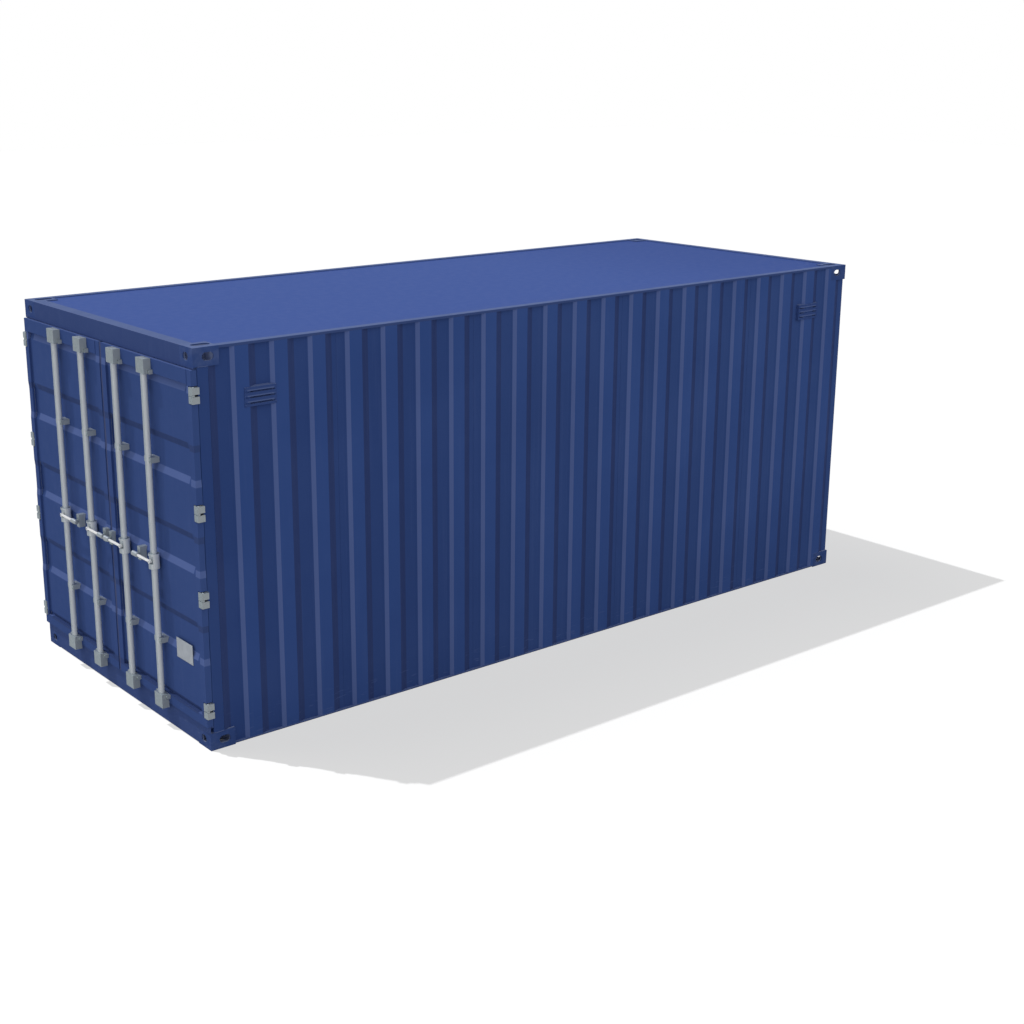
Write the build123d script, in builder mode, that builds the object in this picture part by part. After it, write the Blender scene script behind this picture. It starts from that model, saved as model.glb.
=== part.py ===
# A 20 ft dry freight container with two doors at one end, in millimetres.
# The origin is at the centre of the base. The door end is at -X, the long sides
# are at -Y (right side, seen from outside facing the doors) and +Y (left side).

import os

from build123d import *

os.makedirs("parts", exist_ok=True)

# Overall size
LENGTH = 6058.0
WIDTH = 2438.0
HEIGHT = 2591.0

# One overrun serves every cut that must pass a face
OVERRUN = 5.0

# Corner castings
CASTING_LENGTH = 178.0
CASTING_WIDTH = 162.0
CASTING_HEIGHT = 118.0
CASTING_PLATE = 28.0
CASTING_WALL = 14.0
TOP_APERTURE_LENGTH = 124.5
TOP_APERTURE_WIDTH = 63.5
SIDE_APERTURE_LENGTH = 79.5
END_APERTURE_LENGTH = 63.5
SIDE_APERTURE_HEIGHT = 51.0
APERTURE_FROM_END = 102.5
APERTURE_FROM_SIDE = 89.5

# Frame
BASE_CLEARANCE = 6.0
LIP_HEIGHT = 11.0
BEAM_WALL = 4.5
POST_WALL = 6.0
POST_SETBACK = 26.0
POST_DEPTH = 76.0
POST_WIDTH = 60.0
FRONT_POST_DEPTH = 108.0
FRONT_POST_WIDTH = 106.0
RAIL_FLANGE = 60.0
TOP_RAIL_WIDTH = 64.0
TOP_RAIL_DROP = 60.0
TOP_LIP_HEIGHT = 17.0
TOP_RAIL_WALL = 3.0
HEADER_DEPTH = 90.0
HEADER_LEG_DROP = 59.0
HEADER_BOX_DROP = 60.0
HEADER_LEG_DEPTH = 34.0

# Corrugated walls
SHEET = 2.0
WALL_DEPTH = 18.0
WALL_SLOPE = 42.1
SIDE_BAYS = 21
SIDE_END_SPACE = 113.8
FRONT_BAYS = 8
FRONT_SHEET_START = 106.2

# Roof, floor and cross members
ROOF_RECESS = 8.0
FLOOR_THICKNESS = 28.0
FLOOR_TOP = 187.0
FLOOR_GAP = 1.0
MEMBER_HEIGHT = 122.0
MEMBER_FLANGE = 45.0
MEMBER_WALL = 4.0
MEMBER_COUNT = 16
MEMBER_END_SPACE = 230.0

# Door leaves
LEAF_PROUD = 20.0
LEAF_BACK = 23.0
LEAF_BOTTOM = 165.0
HEADER_FACE = 132.0
LEAF_CLEARANCE = 4.0
LEAF_CENTRE_GAP = 28.0
STILE_WIDTH = 57.0
BOTTOM_RAIL_HEIGHT = 72.0
TOP_RAIL_HEIGHT = 90.0
LEAF_WALL = 4.0

# Door panel ribs
PANEL_FACE = 16.0
PANEL_DEPTH = 14.0
PANEL_SLOPE = 44.0
PANEL_PROUD_BAND = 316.0
PANEL_RECESS_BAND = 174.0
PANEL_FIRST_SLOPE = 57.0
SWAGE_DEPTH = 3.0

# Gasket
GASKET_WIDTH = 25.0
SOFT_GAP = 0.3

# Hinges
HINGES_ABOVE_BOTTOM = (112.0, 852.0)
HINGES_BELOW_TOP = (886.0, 152.0)
HINGE_BLOCK_HEIGHT = 100.0
HINGE_BLADE_HEIGHT = 12.0
HINGE_RUNNING_GAP = 1.0
HINGE_FRONT = 4.0
HINGE_OUTBOARD = 20.0
HINGE_INBOARD = 27.0
HINGE_NOTCH = 35.0
HINGE_NOTCH_GAP = 5.0
PIN_FORWARD = 12.0
PIN_OUTBOARD = 10.0
PIN_RADIUS = 6.0
PIN_CLEARANCE = 0.1
BARREL_RADIUS = 10.0
BLADE_THICKNESS = 16.0

# Lock bars and their fittings
BAR_RADIUS = 21.0
BAR_AXIS = 45.0
BAR_INNER_Y = 247.0
BAR_OUTER_Y = 662.0
BAR_CLEARANCE = 0.5
BAR_END_DEPTH = 20.0
HOUSING_WIDTH = 105.0
HOUSING_HEIGHT = 95.0
HOUSING_FRONT = 70.0
HOUSING_DROP = 29.0
HOUSING_TOP_GAP = 1.0
FOOT_WIDTH = 150.0
FOOT_HEIGHT = 28.0
FOOT_DEPTH = 24.0
BRACKET_HEIGHTS = (603.0, 1808.0)
BRACKET_WIDTH = 88.0
BRACKET_HEIGHT = 36.0
BRACKET_FRONT = 52.0

# Handles
HANDLE_HEIGHT = 1139.0
HUB_RADIUS = 36.0
HUB_HEIGHT = 102.0
HUB_POCKET_BACK = 0.5
HUB_POCKET_BELOW = 15.0
HUB_POCKET_ABOVE = 37.0
EYE_RADIUS = 13.0
EYE_THICKNESS = 18.0
EYE_GAP = 1.0
PIVOT_RADIUS = 7.0
PIVOT_CLEARANCE = 0.1
HANDLE_RADIUS = 9.0
GRIP_RADIUS = 16.0
GRIP_START = 166.0
HANDLE_LENGTH = 238.0
CATCH_START = 182.0
CATCH_WIDTH = 40.0
CATCH_HEIGHT = 90.0
CATCH_FRONT = 50.0
PAD_RADIUS = 9.0

# Blank plate on the right leaf
PLATE_OUTER = 172.0
PLATE_WIDTH = 210.0
PLATE_BOTTOM = 529.0
PLATE_HEIGHT = 134.0
PLATE_THICKNESS = 3.0

# Ventilators
VENT_FROM_END = 454.0
VENT_BELOW_TOP = 341.0
VENT_WIDTH = 236.0
VENT_HEIGHT = 131.0
VENT_PROUD = 8.0
VENT_SHELL = 3.0
SLOT_COUNT = 3
SLOT_LENGTH = 190.0
SLOT_HEIGHT = 10.0
SLOT_PITCH = 36.0

# Derived places
DOOR_X = -LENGTH / 2
FRONT_X = LENGTH / 2
SIDE_Y = WIDTH / 2
RAIL_TOP = BASE_CLEARANCE + LIP_HEIGHT
LIP_BOTTOM = HEIGHT - TOP_LIP_HEIGHT
WEB_OUTER = WALL_DEPTH + SHEET
WALL_START = POST_SETBACK + POST_DEPTH
SIDE_PITCH = (LENGTH - WALL_START - SIDE_END_SPACE) / SIDE_BAYS
FRONT_PITCH = (WIDTH - 2 * FRONT_SHEET_START) / FRONT_BAYS
LEAF_TOP = HEIGHT - HEADER_FACE
LEAF_EDGE = LEAF_CENTRE_GAP / 2
PANEL_PITCH = PANEL_PROUD_BAND + PANEL_RECESS_BAND + 2 * PANEL_SLOPE
PANEL_BOTTOM = LEAF_BOTTOM + BOTTOM_RAIL_HEIGHT
PANEL_TOP = LEAF_TOP - TOP_RAIL_HEIGHT
PANEL_X = DOOR_X - LEAF_PROUD + PANEL_FACE
HINGE_HEIGHTS = tuple(LEAF_BOTTOM + above for above in HINGES_ABOVE_BOTTOM) + tuple(
    LEAF_TOP - below for below in HINGES_BELOW_TOP
)
HOUSING_BOTTOM = LEAF_BOTTOM - HOUSING_DROP
HOUSING_TOP = LEAF_TOP - HOUSING_TOP_GAP
VENT_CENTRE_HEIGHT = HEIGHT - VENT_BELOW_TOP
BAR_X = DOOR_X - BAR_AXIS
PIN_X = DOOR_X - PIN_FORWARD
PIN_Y = SIDE_Y + PIN_OUTBOARD

RIGHT = -1
LEFT = 1


def save(part, name):
    """Label a finished piece and write its file."""
    part.label = name
    export_step(part, f"parts/{name}.step")


def side_y(side, inboard):
    """Y of a place that lies inboard of a long side's outer plane."""
    return side * (SIDE_Y - inboard)


def end_x(end, inboard):
    """X of a place that lies inboard of an end's outer plane; end is -1 at the doors."""
    return end * (LENGTH / 2 - inboard)


def block(x_range, y_range, z_range):
    """A plain box between two places on each axis, kept out of any open builder."""
    low = (min(x_range), min(y_range), min(z_range))
    high = (max(x_range), max(y_range), max(z_range))
    sizes = [b - a for a, b in zip(low, high)]
    with BuildPart(mode=Mode.PRIVATE) as made:
        with Locations(low):
            Box(*sizes, align=(Align.MIN, Align.MIN, Align.MIN))
    return made.part


def round_rod(start, end, radius):
    """A plain round rod between two points, kept out of any open builder."""
    line = Vector(*end) - Vector(*start)
    with BuildPart(mode=Mode.PRIVATE) as made:
        with BuildSketch(Plane(origin=start, z_dir=line)):
            Circle(radius)
        extrude(amount=line.length)
    return made.part


# Corner castings
def make_casting(end, side, top):
    """A hollow corner casting with its three rounded apertures."""
    base = HEIGHT - CASTING_HEIGHT if top else 0.0
    outer_z = HEIGHT if top else 0.0
    inward = -1 if top else 1
    x_range = (end_x(end, 0), end_x(end, CASTING_LENGTH))
    y_range = (side_y(side, 0), side_y(side, CASTING_WIDTH))
    middle_z = base + CASTING_HEIGHT / 2
    with BuildPart() as casting:
        add(block(x_range, y_range, (base, base + CASTING_HEIGHT)))
        add(
            block(
                (end_x(end, CASTING_WALL), end_x(end, CASTING_LENGTH - CASTING_WALL)),
                (side_y(side, CASTING_WALL), side_y(side, CASTING_WIDTH - CASTING_WALL)),
                (outer_z + inward * CASTING_PLATE, outer_z + inward * (CASTING_HEIGHT - CASTING_WALL)),
            ),
            mode=Mode.SUBTRACT,
        )
        with BuildSketch(Plane.XY.offset(outer_z)):
            with Locations((end_x(end, APERTURE_FROM_END), side_y(side, APERTURE_FROM_SIDE))):
                SlotOverall(TOP_APERTURE_LENGTH, TOP_APERTURE_WIDTH)
        extrude(amount=CASTING_PLATE + OVERRUN, both=True, mode=Mode.SUBTRACT)
        with BuildSketch(Plane.XZ.offset(-side_y(side, 0))):
            with Locations((end_x(end, APERTURE_FROM_END), middle_z)):
                SlotOverall(SIDE_APERTURE_LENGTH, SIDE_APERTURE_HEIGHT)
        extrude(amount=CASTING_WALL + OVERRUN, both=True, mode=Mode.SUBTRACT)
        with BuildSketch(Plane.YZ.offset(end_x(end, 0))):
            with Locations((side_y(side, APERTURE_FROM_SIDE), middle_z)):
                SlotOverall(END_APERTURE_LENGTH, SIDE_APERTURE_HEIGHT)
        extrude(amount=CASTING_WALL + OVERRUN, both=True, mode=Mode.SUBTRACT)
    return casting.part


# Posts
def make_post(end, side):
    """A hollow corner post that stands between two castings."""
    if end < 0:
        x_range = (end_x(end, POST_SETBACK), end_x(end, POST_SETBACK + POST_DEPTH))
        y_range = (side_y(side, 0), side_y(side, POST_WIDTH))
    else:
        x_range = (end_x(end, 0), end_x(end, FRONT_POST_DEPTH))
        y_range = (side_y(side, WEB_OUTER), side_y(side, FRONT_POST_WIDTH))
    z_low = CASTING_HEIGHT
    z_high = HEIGHT - CASTING_HEIGHT
    with BuildPart() as post:
        with BuildSketch(Plane.XY.offset(z_low)):
            with Locations((sum(x_range) / 2, sum(y_range) / 2)):
                Rectangle(abs(x_range[1] - x_range[0]), abs(y_range[1] - y_range[0]))
            offset(amount=-POST_WALL, mode=Mode.SUBTRACT)
        extrude(amount=z_high - z_low)
    return post.part


def cut_corner_zones(end, post_inboard, post_x_from):
    """Cut the room of the castings and posts out of a full-width end beam."""
    for side in (RIGHT, LEFT):
        castings_y = (side_y(side, -OVERRUN), side_y(side, CASTING_WIDTH))
        castings_x = (end_x(end, -OVERRUN), end_x(end, CASTING_LENGTH))
        for z_range in ((-OVERRUN, CASTING_HEIGHT), (HEIGHT - CASTING_HEIGHT, HEIGHT + OVERRUN)):
            add(block(castings_x, castings_y, z_range), mode=Mode.SUBTRACT)
        post_y = (side_y(side, -OVERRUN), side_y(side, post_inboard))
        post_x = (end_x(end, post_x_from), end_x(end, CASTING_LENGTH))
        add(block(post_x, post_y, (CASTING_HEIGHT, HEIGHT - CASTING_HEIGHT)), mode=Mode.SUBTRACT)


def make_end_beam(end, points, wall, post_inboard, post_x_from):
    """A hollow beam across one end, from (inboard, height) points of its section."""
    corners = [(end_x(end, inboard), z) for inboard, z in points]
    with BuildPart() as beam:
        with BuildSketch(Plane.XZ) as section:
            with BuildLine():
                Polyline(*corners, close=True)
            make_face()
            offset(amount=-wall, mode=Mode.SUBTRACT)
        extrude(amount=SIDE_Y, both=True)
        cut_corner_zones(end, post_inboard, post_x_from)
    return beam.part


def make_side_rail(side, points, wall, hollow):
    """A rail along one long side, from (inboard, height) points of its section."""
    corners = [(side_y(side, inboard), z) for inboard, z in points]
    with BuildPart() as rail:
        with BuildSketch(Plane.YZ) as section:
            with BuildLine():
                Polyline(*corners, close=True)
            make_face()
            if hollow:
                offset(amount=-wall, mode=Mode.SUBTRACT)
        extrude(amount=LENGTH / 2 - CASTING_LENGTH, both=True)
    return rail.part


# Corrugated sheets
def corrugation_line(start, bays, pitch, flat_end):
    """(along, depth) points of a wall's outer line; each bay goes in and comes out."""
    points = []
    for bay in range(bays):
        at = start + bay * pitch
        points.append((at, 0.0))
        points.append((at + WALL_SLOPE, WALL_DEPTH))
        points.append((at + pitch / 2, WALL_DEPTH))
        points.append((at + pitch / 2 + WALL_SLOPE, 0.0))
    points.extend(flat_end)
    return points


SIDE_END = WALL_START + SIDE_BAYS * SIDE_PITCH
SIDE_LINE = corrugation_line(
    WALL_START,
    SIDE_BAYS,
    SIDE_PITCH,
    [
        (SIDE_END, 0.0),
        (SIDE_END + WALL_SLOPE, WALL_DEPTH),
        (LENGTH - SHEET, WALL_DEPTH),
    ],
)
FRONT_END = WIDTH - FRONT_SHEET_START
FRONT_LINE = corrugation_line(FRONT_SHEET_START, FRONT_BAYS, FRONT_PITCH, [(FRONT_END, 0.0)])


def closed_sheet(line):
    """Close a (along, depth) line into the section of a thin sheet."""
    inner = [(along, depth + SHEET) for along, depth in reversed(line)]
    return line + inner


def make_side_wall(side):
    """A corrugated long side: one long sheet and a short one between the castings at each end."""
    points = [(DOOR_X + along, side_y(side, depth)) for along, depth in closed_sheet(SIDE_LINE)]
    wall_y = (side_y(side, -OVERRUN), side_y(side, CASTING_WIDTH))
    seams = (end_x(-1, CASTING_LENGTH), end_x(1, CASTING_LENGTH))
    sheets = (
        (seams, (RAIL_TOP, LIP_BOTTOM)),
        ((end_x(-1, 0), seams[0]), (CASTING_HEIGHT, HEIGHT - CASTING_HEIGHT)),
        ((seams[1], end_x(1, 0)), (CASTING_HEIGHT, HEIGHT - CASTING_HEIGHT)),
    )
    solids = []
    for sheet_x, sheet_z in sheets:
        with BuildPart() as sheet:
            with BuildSketch(Plane.XY.offset(sheet_z[0])):
                with BuildLine():
                    Polyline(*points, close=True)
                make_face()
            extrude(amount=sheet_z[1] - sheet_z[0])
            add(block(sheet_x, wall_y, sheet_z), mode=Mode.INTERSECT)
        solids.append(sheet.part)
    return Compound(children=solids)


def make_front_wall():
    """The corrugated blind end between the front posts and rails."""
    points = [(FRONT_X - depth, -SIDE_Y + along) for along, depth in closed_sheet(FRONT_LINE)]
    with BuildPart() as wall:
        with BuildSketch(Plane.XY.offset(RAIL_TOP)):
            with BuildLine():
                Polyline(*points, close=True)
            make_face()
        extrude(amount=LIP_BOTTOM - RAIL_TOP)
        for side in (RIGHT, LEFT):
            castings_x = (end_x(1, -OVERRUN), end_x(1, CASTING_LENGTH))
            castings_y = (side_y(side, -OVERRUN), side_y(side, CASTING_WIDTH))
            for z_range in ((0.0, CASTING_HEIGHT), (HEIGHT - CASTING_HEIGHT, HEIGHT)):
                add(block(castings_x, castings_y, z_range), mode=Mode.SUBTRACT)
    return wall.part


# Root pieces
for end, end_name in ((-1, "door"), (1, "front")):
    for side, side_name in ((RIGHT, "right"), (LEFT, "left")):
        for top, top_name in ((False, "bottom"), (True, "top")):
            save(make_casting(end, side, top), f"{end_name}_{side_name}_{top_name}_casting")
        save(make_post(end, side), f"{end_name}_{side_name}_post")

sill_points = [
    (0.0, BASE_CLEARANCE),
    (0.0, LEAF_BOTTOM - LEAF_CLEARANCE),
    (POST_SETBACK, LEAF_BOTTOM - LEAF_CLEARANCE),
    (POST_SETBACK, FLOOR_TOP),
    (WALL_START, FLOOR_TOP),
    (WALL_START, BASE_CLEARANCE),
]
save(make_end_beam(-1, sill_points, BEAM_WALL, POST_WIDTH, POST_SETBACK), "door_sill")

header_points = [
    (0.0, HEIGHT),
    (HEADER_DEPTH, HEIGHT),
    (HEADER_DEPTH, HEIGHT - HEADER_BOX_DROP),
    (POST_SETBACK + HEADER_LEG_DEPTH, HEIGHT - HEADER_BOX_DROP),
    (POST_SETBACK + HEADER_LEG_DEPTH, LEAF_TOP - HEADER_LEG_DROP),
    (POST_SETBACK, LEAF_TOP - HEADER_LEG_DROP),
    (POST_SETBACK, LEAF_TOP + LEAF_CLEARANCE),
    (0.0, LEAF_TOP + LEAF_CLEARANCE),
]
save(make_end_beam(-1, header_points, BEAM_WALL, POST_WIDTH, POST_SETBACK), "door_header")

front_bottom_points = [
    (0.0, BASE_CLEARANCE),
    (0.0, RAIL_TOP),
    (WEB_OUTER, RAIL_TOP),
    (WEB_OUTER, FLOOR_TOP),
    (FRONT_POST_DEPTH, FLOOR_TOP),
    (FRONT_POST_DEPTH, BASE_CLEARANCE),
]
save(make_end_beam(1, front_bottom_points, BEAM_WALL, FRONT_POST_WIDTH, 0.0), "front_bottom_rail")

top_rail_points = [
    (0.0, LIP_BOTTOM),
    (0.0, HEIGHT),
    (TOP_RAIL_WIDTH, HEIGHT),
    (TOP_RAIL_WIDTH, HEIGHT - TOP_RAIL_DROP),
    (WEB_OUTER, HEIGHT - TOP_RAIL_DROP),
    (WEB_OUTER, LIP_BOTTOM),
]
save(make_end_beam(1, top_rail_points, TOP_RAIL_WALL, FRONT_POST_WIDTH, 0.0), "front_top_rail")

bottom_rail_points = [
    (0.0, BASE_CLEARANCE),
    (0.0, RAIL_TOP),
    (WEB_OUTER, RAIL_TOP),
    (WEB_OUTER, FLOOR_TOP),
    (WEB_OUTER + BEAM_WALL, FLOOR_TOP),
    (WEB_OUTER + BEAM_WALL, BASE_CLEARANCE + BEAM_WALL),
    (RAIL_FLANGE, BASE_CLEARANCE + BEAM_WALL),
    (RAIL_FLANGE, BASE_CLEARANCE),
]
for side, side_name in ((RIGHT, "right"), (LEFT, "left")):
    save(make_side_rail(side, top_rail_points, TOP_RAIL_WALL, True), f"{side_name}_top_rail")
    save(make_side_rail(side, bottom_rail_points, BEAM_WALL, False), f"{side_name}_bottom_rail")
    save(make_side_wall(side), f"{side_name}_side_wall")
save(make_front_wall(), "front_wall")

# Roof sheet, let in between the header, the front rail and the two side rails
roof_x = (end_x(-1, HEADER_DEPTH), end_x(1, TOP_RAIL_WIDTH))
roof_y = SIDE_Y - TOP_RAIL_WIDTH
roof_z = HEIGHT - ROOF_RECESS
with BuildPart() as roof:
    add(block(roof_x, (-roof_y, roof_y), (roof_z - SHEET, roof_z)))
    for end in (-1, 1):
        for side in (RIGHT, LEFT):
            add(
                block(
                    (end_x(end, 0), end_x(end, CASTING_LENGTH)),
                    (side_y(side, 0), side_y(side, CASTING_WIDTH)),
                    (roof_z - SHEET - OVERRUN, roof_z + OVERRUN),
                ),
                mode=Mode.SUBTRACT,
            )
save(roof.part, "roof_sheet")

# Plywood floor and the channels that carry it
floor_y = SIDE_Y - WEB_OUTER - BEAM_WALL - FLOOR_GAP
floor_bottom = FLOOR_TOP - FLOOR_THICKNESS
with BuildPart() as floor:
    add(
        block(
            (end_x(-1, WALL_START + FLOOR_GAP), end_x(1, FRONT_POST_DEPTH + FLOOR_GAP)),
            (-floor_y, floor_y),
            (floor_bottom, FLOOR_TOP),
        )
    )
save(floor.part, "plywood_floor")

member_y = SIDE_Y - WEB_OUTER - BEAM_WALL
first_member = end_x(-1, WALL_START + MEMBER_END_SPACE)
last_member = end_x(1, FRONT_POST_DEPTH + MEMBER_END_SPACE)
member_step = (last_member - first_member) / (MEMBER_COUNT - 1)
member_bottom = floor_bottom - MEMBER_HEIGHT
with BuildPart() as members:
    with BuildSketch(Plane.XZ):
        for index in range(MEMBER_COUNT):
            with Locations((first_member + index * member_step, member_bottom)):
                Rectangle(MEMBER_FLANGE, MEMBER_HEIGHT, align=(Align.MIN, Align.MIN))
            with Locations((first_member + index * member_step + MEMBER_WALL, member_bottom + MEMBER_WALL)):
                Rectangle(
                    MEMBER_FLANGE,
                    MEMBER_HEIGHT - 2 * MEMBER_WALL,
                    align=(Align.MIN, Align.MIN),
                    mode=Mode.SUBTRACT,
                )
    extrude(amount=member_y, both=True)
save(members.part, "cross_members")


# Ventilators, seated on the corrugated side
def make_vent(side, end):
    """A louvred cover whose back follows the side's sheet."""
    centre_x = end_x(end, VENT_FROM_END)
    low = (centre_x - VENT_WIDTH / 2, centre_x + VENT_WIDTH / 2)
    z_range = (VENT_CENTRE_HEIGHT - VENT_HEIGHT / 2, VENT_CENTRE_HEIGHT + VENT_HEIGHT / 2)
    behind = [(DOOR_X + along, side_y(side, depth)) for along, depth in SIDE_LINE]
    behind.append((behind[-1][0], side_y(side, WALL_DEPTH + OVERRUN)))
    behind.append((behind[0][0], side_y(side, WALL_DEPTH + OVERRUN)))
    with BuildPart() as vent:
        add(block(low, (side_y(side, -VENT_PROUD), side_y(side, WALL_DEPTH)), z_range))
        with BuildSketch(Plane.XY.offset(z_range[0] - OVERRUN)):
            with BuildLine():
                Polyline(*behind, close=True)
            make_face()
        extrude(amount=VENT_HEIGHT + 2 * OVERRUN, mode=Mode.SUBTRACT)
        first = VENT_CENTRE_HEIGHT - SLOT_PITCH * (SLOT_COUNT - 1) / 2
        for index in range(SLOT_COUNT):
            slot_z = first + index * SLOT_PITCH
            add(
                block(
                    (centre_x - SLOT_LENGTH / 2, centre_x + SLOT_LENGTH / 2),
                    (side_y(side, -VENT_PROUD - OVERRUN), side_y(side, -VENT_PROUD + VENT_SHELL)),
                    (slot_z - SLOT_HEIGHT / 2, slot_z + SLOT_HEIGHT / 2),
                ),
                mode=Mode.SUBTRACT,
            )
    return vent.part


vent_solids = [make_vent(side, end) for side in (RIGHT, LEFT) for end in (-1, 1)]
save(Compound(children=vent_solids), "ventilators")


# Hinges
def make_lugs(side):
    """The fixed hinge lugs and pins of one door, on the corner post's front."""
    solids = []
    half = HINGE_BLOCK_HEIGHT / 2
    slot = HINGE_BLADE_HEIGHT / 2 + HINGE_RUNNING_GAP
    x_range = (DOOR_X - LEAF_PROUD - HINGE_FRONT, DOOR_X + POST_SETBACK)
    y_range = (side_y(side, -HINGE_OUTBOARD), side_y(side, HINGE_INBOARD))
    for height in HINGE_HEIGHTS:
        with BuildPart() as hinge:
            add(block(x_range, y_range, (height - half, height - slot)))
            add(block(x_range, y_range, (height + slot, height + half)))
            pin_x = (PIN_X, side * PIN_Y)
            add(round_rod((*pin_x, height - half), (*pin_x, height + half), PIN_RADIUS))
        solids.append(hinge.part)
    return Compound(children=solids)


def make_blades(side):
    """The moving hinge blades of one door, from the pins to the leaf's stile."""
    solids = []
    half = HINGE_BLADE_HEIGHT / 2
    for height in HINGE_HEIGHTS:
        with BuildPart() as blade:
            with BuildSketch(Plane.XY.offset(height - half)):
                with Locations((PIN_X, side * PIN_Y)):
                    Circle(BARREL_RADIUS)
                with Locations((DOOR_X - LEAF_PROUD, side * PIN_Y)):
                    y_align = Align.MAX if side > 0 else Align.MIN
                    Rectangle(
                        BLADE_THICKNESS,
                        PIN_OUTBOARD + HINGE_NOTCH,
                        align=(Align.MIN, y_align),
                    )
                with Locations((PIN_X, side * PIN_Y)):
                    Circle(PIN_RADIUS + PIN_CLEARANCE, mode=Mode.SUBTRACT)
            extrude(amount=2 * half)
        solids.append(blade.part)
    return solids


# Door leaves
def leaf_y(side, inboard):
    """Y of a place inboard of a leaf's outer edge."""
    return side * (SIDE_Y - inboard)


LEAF_WIDTH = SIDE_Y - LEAF_EDGE


def rib_line():
    """(height, depth) points of the panel's outer line, past the leaf's top."""
    points = []
    start = LEAF_BOTTOM + PANEL_FIRST_SLOPE
    while start < LEAF_TOP:
        band = start + PANEL_SLOPE
        points.append((start, PANEL_DEPTH))
        points.append((band, 0.0))
        points.append((band + PANEL_PROUD_BAND, 0.0))
        points.append((band + PANEL_PROUD_BAND + PANEL_SLOPE, PANEL_DEPTH))
        start += PANEL_PITCH
    points.append((start, PANEL_DEPTH))
    return points


def clipped(points, low, high):
    """Cut a line of (height, depth) points off at two heights."""
    kept = []
    for (z_from, depth_from), (z_to, depth_to) in zip(points, points[1:]):
        if z_to <= low or z_from >= high:
            continue
        rate = (depth_to - depth_from) / (z_to - z_from)
        first = max(z_from, low)
        last = min(z_to, high)
        if not kept:
            kept.append((first, depth_from + rate * (first - z_from)))
        kept.append((last, depth_from + rate * (last - z_from)))
    return kept


def swage_bands():
    """(height, depth) points of each shallow band that is pressed into the stiles."""
    bands = []
    low = LEAF_BOTTOM + PANEL_FIRST_SLOPE + PANEL_SLOPE + PANEL_PROUD_BAND
    while low < LEAF_TOP:
        recess = low + PANEL_SLOPE
        recess_end = recess + PANEL_RECESS_BAND
        bands.append(
            [(low, 0.0), (recess, SWAGE_DEPTH), (recess_end, SWAGE_DEPTH), (recess_end + PANEL_SLOPE, 0.0)]
        )
        low += PANEL_PITCH
    return bands


def cut_swages(side, front, back, inner):
    """Press the shallow bands into both stiles' faces and the leaf's outer side."""
    for band in swage_bands():
        z_low = band[0][0]
        z_high = band[-1][0]
        face = [(front + depth, z) for z, depth in band]
        face += [(front - OVERRUN, z_high), (front - OVERRUN, z_low)]
        for start in (0.0, inner):
            middle = leaf_y(side, start + STILE_WIDTH / 2)
            with BuildSketch(Plane.XZ.offset(-middle)) as press:
                with BuildLine():
                    Polyline(*face, close=True)
                make_face()
            extrude(press.sketch, amount=STILE_WIDTH / 2, both=True, mode=Mode.SUBTRACT)
        edge = [(leaf_y(side, depth), z) for z, depth in band]
        edge += [(leaf_y(side, -OVERRUN), z_high), (leaf_y(side, -OVERRUN), z_low)]
        with BuildSketch(Plane.YZ.offset((front + back) / 2)) as side_press:
            with BuildLine():
                Polyline(*edge, close=True)
            make_face()
        extrude(side_press.sketch, amount=(back - front) / 2, both=True, mode=Mode.SUBTRACT)


def make_leaf_frame(side):
    """Swaged tube stiles, open channel rails and the hinge notches of one leaf."""
    front = DOOR_X - LEAF_PROUD
    back = DOOR_X + LEAF_BACK
    inner = LEAF_WIDTH - STILE_WIDTH
    with BuildPart() as frame:
        add(block((front, back), (leaf_y(side, 0), leaf_y(side, LEAF_WIDTH)), (LEAF_BOTTOM, LEAF_TOP)))
        add(
            block(
                (front - OVERRUN, back + OVERRUN),
                (leaf_y(side, STILE_WIDTH), leaf_y(side, inner)),
                (PANEL_BOTTOM, PANEL_TOP),
            ),
            mode=Mode.SUBTRACT,
        )
        for start in (0.0, inner):
            add(
                block(
                    (front + SWAGE_DEPTH + LEAF_WALL, back - LEAF_WALL),
                    (
                        leaf_y(side, start + SWAGE_DEPTH + LEAF_WALL),
                        leaf_y(side, start + STILE_WIDTH - LEAF_WALL),
                    ),
                    (LEAF_BOTTOM - OVERRUN, LEAF_TOP - LEAF_WALL),
                ),
                mode=Mode.SUBTRACT,
            )
        for z_low, z_high in ((LEAF_BOTTOM, PANEL_BOTTOM), (PANEL_TOP, LEAF_TOP)):
            add(
                block(
                    (front + LEAF_WALL, back + OVERRUN),
                    (leaf_y(side, STILE_WIDTH), leaf_y(side, inner)),
                    (z_low + LEAF_WALL, z_high - LEAF_WALL),
                ),
                mode=Mode.SUBTRACT,
            )
        cut_swages(side, front, back, inner)
        notch = HINGE_BLOCK_HEIGHT / 2 + HINGE_NOTCH_GAP
        for height in HINGE_HEIGHTS:
            add(
                block(
                    (front - OVERRUN, back + OVERRUN),
                    (leaf_y(side, -OVERRUN), leaf_y(side, HINGE_NOTCH)),
                    (height - notch, height + notch),
                ),
                mode=Mode.SUBTRACT,
            )
            add(
                block(
                    (front, back),
                    (leaf_y(side, HINGE_NOTCH), leaf_y(side, HINGE_NOTCH + LEAF_WALL)),
                    (height - notch, height + notch),
                )
            )
    return frame.part


PANEL_LINE = clipped(rib_line(), PANEL_BOTTOM, PANEL_TOP)


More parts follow.
